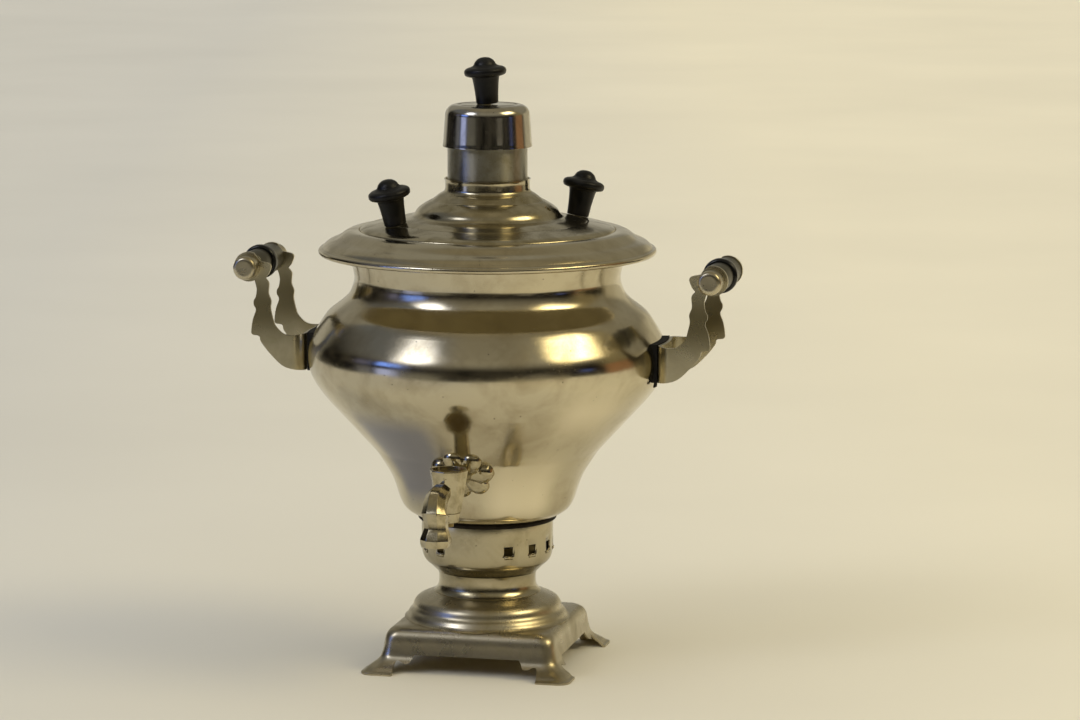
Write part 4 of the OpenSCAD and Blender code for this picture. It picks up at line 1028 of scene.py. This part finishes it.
gripPlan = {  # steel caps and sleeves and a turned disc on a rod, the same on both sides of it
    # the right grip's far cap is longer by the play that shows there
    "capRadius": 4.95, "capLength": 8.1, "capFace": 1.7, "play": 2,
    "sleeveRadius": 5.8, "sleeveEnd": 16.1, "discRadius": 7.2, "discHalf": 2.2,
    "discEdge": 1.2, "rod": 2.5, "turns": 72,
}


def makePair(lines, turns, closed=False):  # two turned parts, of which the second is mirrored
    pair = bmesh.new()
    for line, mirrored in zip(lines, (False, True)):
        part = spinLine(line, turns, closed)
        if mirrored:
            bmesh.ops.scale(part, vec=(1, 1, -1), verts=part.verts)
            bmesh.ops.reverse_faces(part, faces=part.faces)
        joinMesh(pair, part)
    return pair


def makeGrips(p, h):
    inside = (h["armGap"] - h["metal"]) / 2

    def capLine(length):
        r, face, end = p["capRadius"], p["capFace"], inside + length
        return ([(0, inside), (r, inside), (r, end - face - 0.8)]
                + arcLine((r - face, end - face), face, 0, 90, 6)
                + [(r - face - 0.5, end), (0, end - 0.12)])

    # the small numbers are the roundings of the turned edges
    rod, s, start, end = p["rod"], p["sleeveRadius"], p["discHalf"], p["sleeveEnd"]
    sleeveLine = [(rod, start), (s - 0.3, start), (s, start + 0.3), (s, end - 0.6),
                  (s - 0.2, end - 0.2), (s - 0.6, end), (rod, end)]
    edge, half = p["discEdge"], p["discHalf"]
    discLine = ([(rod, -half)] + arcLine((p["discRadius"] - edge, -half + edge), edge, -90, 0, 6)
                + arcLine((p["discRadius"] - edge, half - edge), edge, 0, 90, 6) + [(rod, half)])
    for side, name in ((-1, "left"), (1, "right")):
        seat = moveBy(side * h["grip"][0], 0, h["grip"][1]) @ turnBy(-90, "X")
        caps = [capLine(p["capLength"]), capLine(p["capLength"] + (p["play"] if side > 0 else 0))]
        for bm, kind, finish, slotName in (
                (makePair(caps, p["turns"]), "Caps", dull, "nickel"),
                (makePair([sleeveLine] * 2, p["turns"], True), "Sleeves", greySteel, "dull_nickel"),
                (spinLine(discLine, p["turns"], True), "Disc", glossBlack, "knob_plastic")):
            place(makeObject(name + "Grip" + kind, bm, 40, seat), finish, name + "_grip", slotName,
                  name + "_grip_" + kind.lower())


makeBrackets(handlePlan)
makePads(padPlan, vesselPlan)
makeGrips(gripPlan, handlePlan)
print("handles made")

tapPlan = {  # an eight-sided barrel on its pipe, a bent spout and a stamped rosette
    "height": 85.5, "barrel": -66.5, "pipe": 4, "tail": 33.6, "pipeStop": 6.2,
    # radius and height of the eight-sided barrel, from its foot up to its dished top
    "outside": [(4.6, 74.4), (5.0, 74.4), (5.2, 75), (6.4, 82), (7.3, 87.6), (7.8, 90.5), (8, 91.5),
                (7.8, 91.9), (7, 91.95), (6.9, 91), (4.6, 75.5)],
    "foot": [(0, 70.2), (3.7, 70.2), (4.1, 70.7), (4.6, 72.9), (4.8, 74.3), (0, 74.3)],
    # distance past the barrel's axis, height and radius of the spout's slices, and how far each
    # lies towards the left handle
    "spout": [(5.8, 83.65, 3.5, 0.6), (7.4, 83.4, 4.05, 0.95), (9.4, 82.9, 4.4, 1.2),
              (11.6, 81.8, 4.7, 1.4), (13.7, 80.1, 4.9, 1.3), (15.5, 78.3, 5, 1),
              (16.5, 77.1, 5.2, 0.7), (16.9, 76.2, 5.6, 0.5), (17, 75.4, 5.3, 0.3),
              (17, 73.9, 4.9, 0.2), (17, 72.3, 4.8, 0), (17, 70.9, 4.9, 0), (17.2, 69.2, 5.4, 0),
              (17.4, 67.4, 6.1, 0), (17.6, 66.2, 6.4, 0), (17.6, 65, 6.3, 0), (17.6, 63.6, 5.9, 0)],
    "mouth": [(17.6, 63.6, 5.1), (17.6, 66.5, 2.2), (17.6, 70, 1.7)],
    "spoutTurn": -3,  # degrees about the barrel, towards the left handle
    "wallRadius": 44, "wallTilt": 37.5,
    # a petal widens from the pipe out to a round end: place and radius of that end, its height
    "petals": 7, "petalTurn": 5, "petalEnd": (8.6, 4.6), "petalHeight": 2.4,
    "rootHeight": 0.55,  # the height by the pipe, as a share of the height at the round end
    "crease": 1, "sunk": 2, "edge": 13.2,  # height between petals, depth in the wall, outer radius
    "rows": 46, "columns": 32,  # rows of points outwards, and columns in each petal
}


def makeTapBody(p):
    toBarrel = moveBy(0, p["barrel"], 0)
    bm = spinLine(p["outside"], 8, closed=True)
    bm.transform(toBarrel)
    stop = -p["barrel"] - p["pipeStop"]  # inside the barrel's wall, short of the plug
    pipe = spinLine([(0, p["tail"]), (p["pipe"], p["tail"]), (p["pipe"], stop), (0, stop)], 48)
    pipe.transform(moveBy(0, 0, p["height"]) @ turnBy(90, "X"))
    joinMesh(bm, pipe)
    body = makeObject("tapBarrel", bm, 30)
    addBevel(body, width=0.3, segments=3, angle=28)
    place(body, tapNickel, "samovar", "nickel", "tap_body")

    foot = makeObject("plugFoot", spinLine(p["foot"], 8), 30, toBarrel)
    addBevel(foot, width=0.2, angle=28)
    place(foot, tapNickel, "plug", "nickel", "plug_nut", "plug_washer")


def makeSpout(p):
    bm = bmesh.new()
    line = p["spout"]
    rings = []

    def addSlice(seat, r, first, step):  # an eight-sided slice of the spout
        angles = [math.radians(first + step * k) for k in range(8)]
        rings.append([bm.verts.new(seat @ Vector((r * math.cos(a) * mm, r * math.sin(a) * mm, 0)))
                      for a in angles])

    for i, (y, z, r, aside) in enumerate(line):
        before, after = line[max(i - 1, 0)], line[min(i + 1, len(line) - 1)]
        lean = math.atan2(after[0] - before[0], after[1] - before[1])
        seat = moveBy(-aside, p["barrel"] - y, z) @ Matrix.Rotation(lean, 4, "X")
        addSlice(seat, r, 22.5, 45)
    for y, z, r in p["mouth"]:
        addSlice(moveBy(0, p["barrel"] - y, z), r, 202.5, -45)
    bridgeRows(bm, rings[:len(line)])
    bm.faces.new(rings[0])
    spoutEnd, mouthRings = rings[len(line) - 1], rings[len(line):]
    nearest = [min(mouthRings[0], key=lambda m: (m.co - v.co).length) for v in spoutEnd]
    bridge(bm, spoutEnd, nearest)
    bridgeRows(bm, mouthRings)
    bm.faces.new(mouthRings[-1])
    bmesh.ops.recalc_face_normals(bm, faces=bm.faces)
    bmesh.ops.rotate(bm, cent=(0, p["barrel"] * mm, 0), verts=bm.verts,
                     matrix=turnBy(p["spoutTurn"], "Z"))
    spout = makeObject("tapSpout", bm, 20)
    addBevel(spout, width=0.35, segments=3, angle=15)
    place(spout, tapNickel, "samovar", "nickel", "tap_spout")


def makeRosette(p):
    bm = bmesh.new()
    rows, turns = p["rows"], p["petals"] * p["columns"]
    seat = (moveBy(0, -p["wallRadius"], p["height"]) @ turnBy(90 + p["wallTilt"], "X")
            @ turnBy(p["petalTurn"], "Z"))
    end, wide = p["petalEnd"]
    step = 2 * math.pi / p["petals"]

    def heightAt(r, angle):
        away = (angle + step / 2) % step - step / 2
        along, across = r * math.cos(away), r * math.sin(away)
        if along > end:
            share = math.hypot(along - end, across) / wide
        else:
            share = abs(across) / (wide * max(along, 0.1) / end)
        if share >= 1:
            return p["crease"] if along < end - 1 else -p["sunk"]
        top = p["petalHeight"] * mix(p["rootHeight"], 1, min(1, along / end))
        low = mix(p["crease"], -p["sunk"], min(1, max(0, along - end + 1)))
        return low + (top - low) * (1 - share ** 3) ** (1 / 2.2)  # a pillowed section

    rings = [[addPoint(bm, 0, 0, heightAt(0, 0))]]
    for i in range(1, rows + 1):
        r = p["edge"] * i / rows
        angles = [2 * math.pi * k / turns for k in range(turns)]
        rings.append([addPoint(bm, r * math.cos(a), r * math.sin(a), heightAt(r, a))
                      for a in angles])
    bridgeRows(bm, rings)
    bmesh.ops.reverse_faces(bm, faces=bm.faces)
    place(makeObject("tapRosette", bm, 50, seat), tapNickel, "samovar", "nickel", "tap_rosette")


makeTapBody(tapPlan)
makeSpout(tapPlan)
makeRosette(tapPlan)
print("tap made")

nodeFinish = {  # the nodes that keep their own shape
    # painted shade: the foot ring takes the dark burnt iron so that it shows as the shadow gap
    # under the vessel
    "foot_ring": iron, "vessel_floor": dull, "fire_tube": steel, "grate": iron,
    "left_handle_screws": nickel, "right_handle_screws": nickel,
    "left_handle_nuts": dull, "right_handle_nuts": dull,
    "left_grip_rod": nickel, "right_grip_rod": nickel,
    "tap_washer": fibre, "tap_nut": dull, "tap_plug": brass,
    "lid_knob_screws": dull, "cap_knob_screw": dull,
}
for name, finish in nodeFinish.items():
    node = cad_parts[name]
    for seat in node.material_slots:
        seat.material = finish
print("nodes finished")
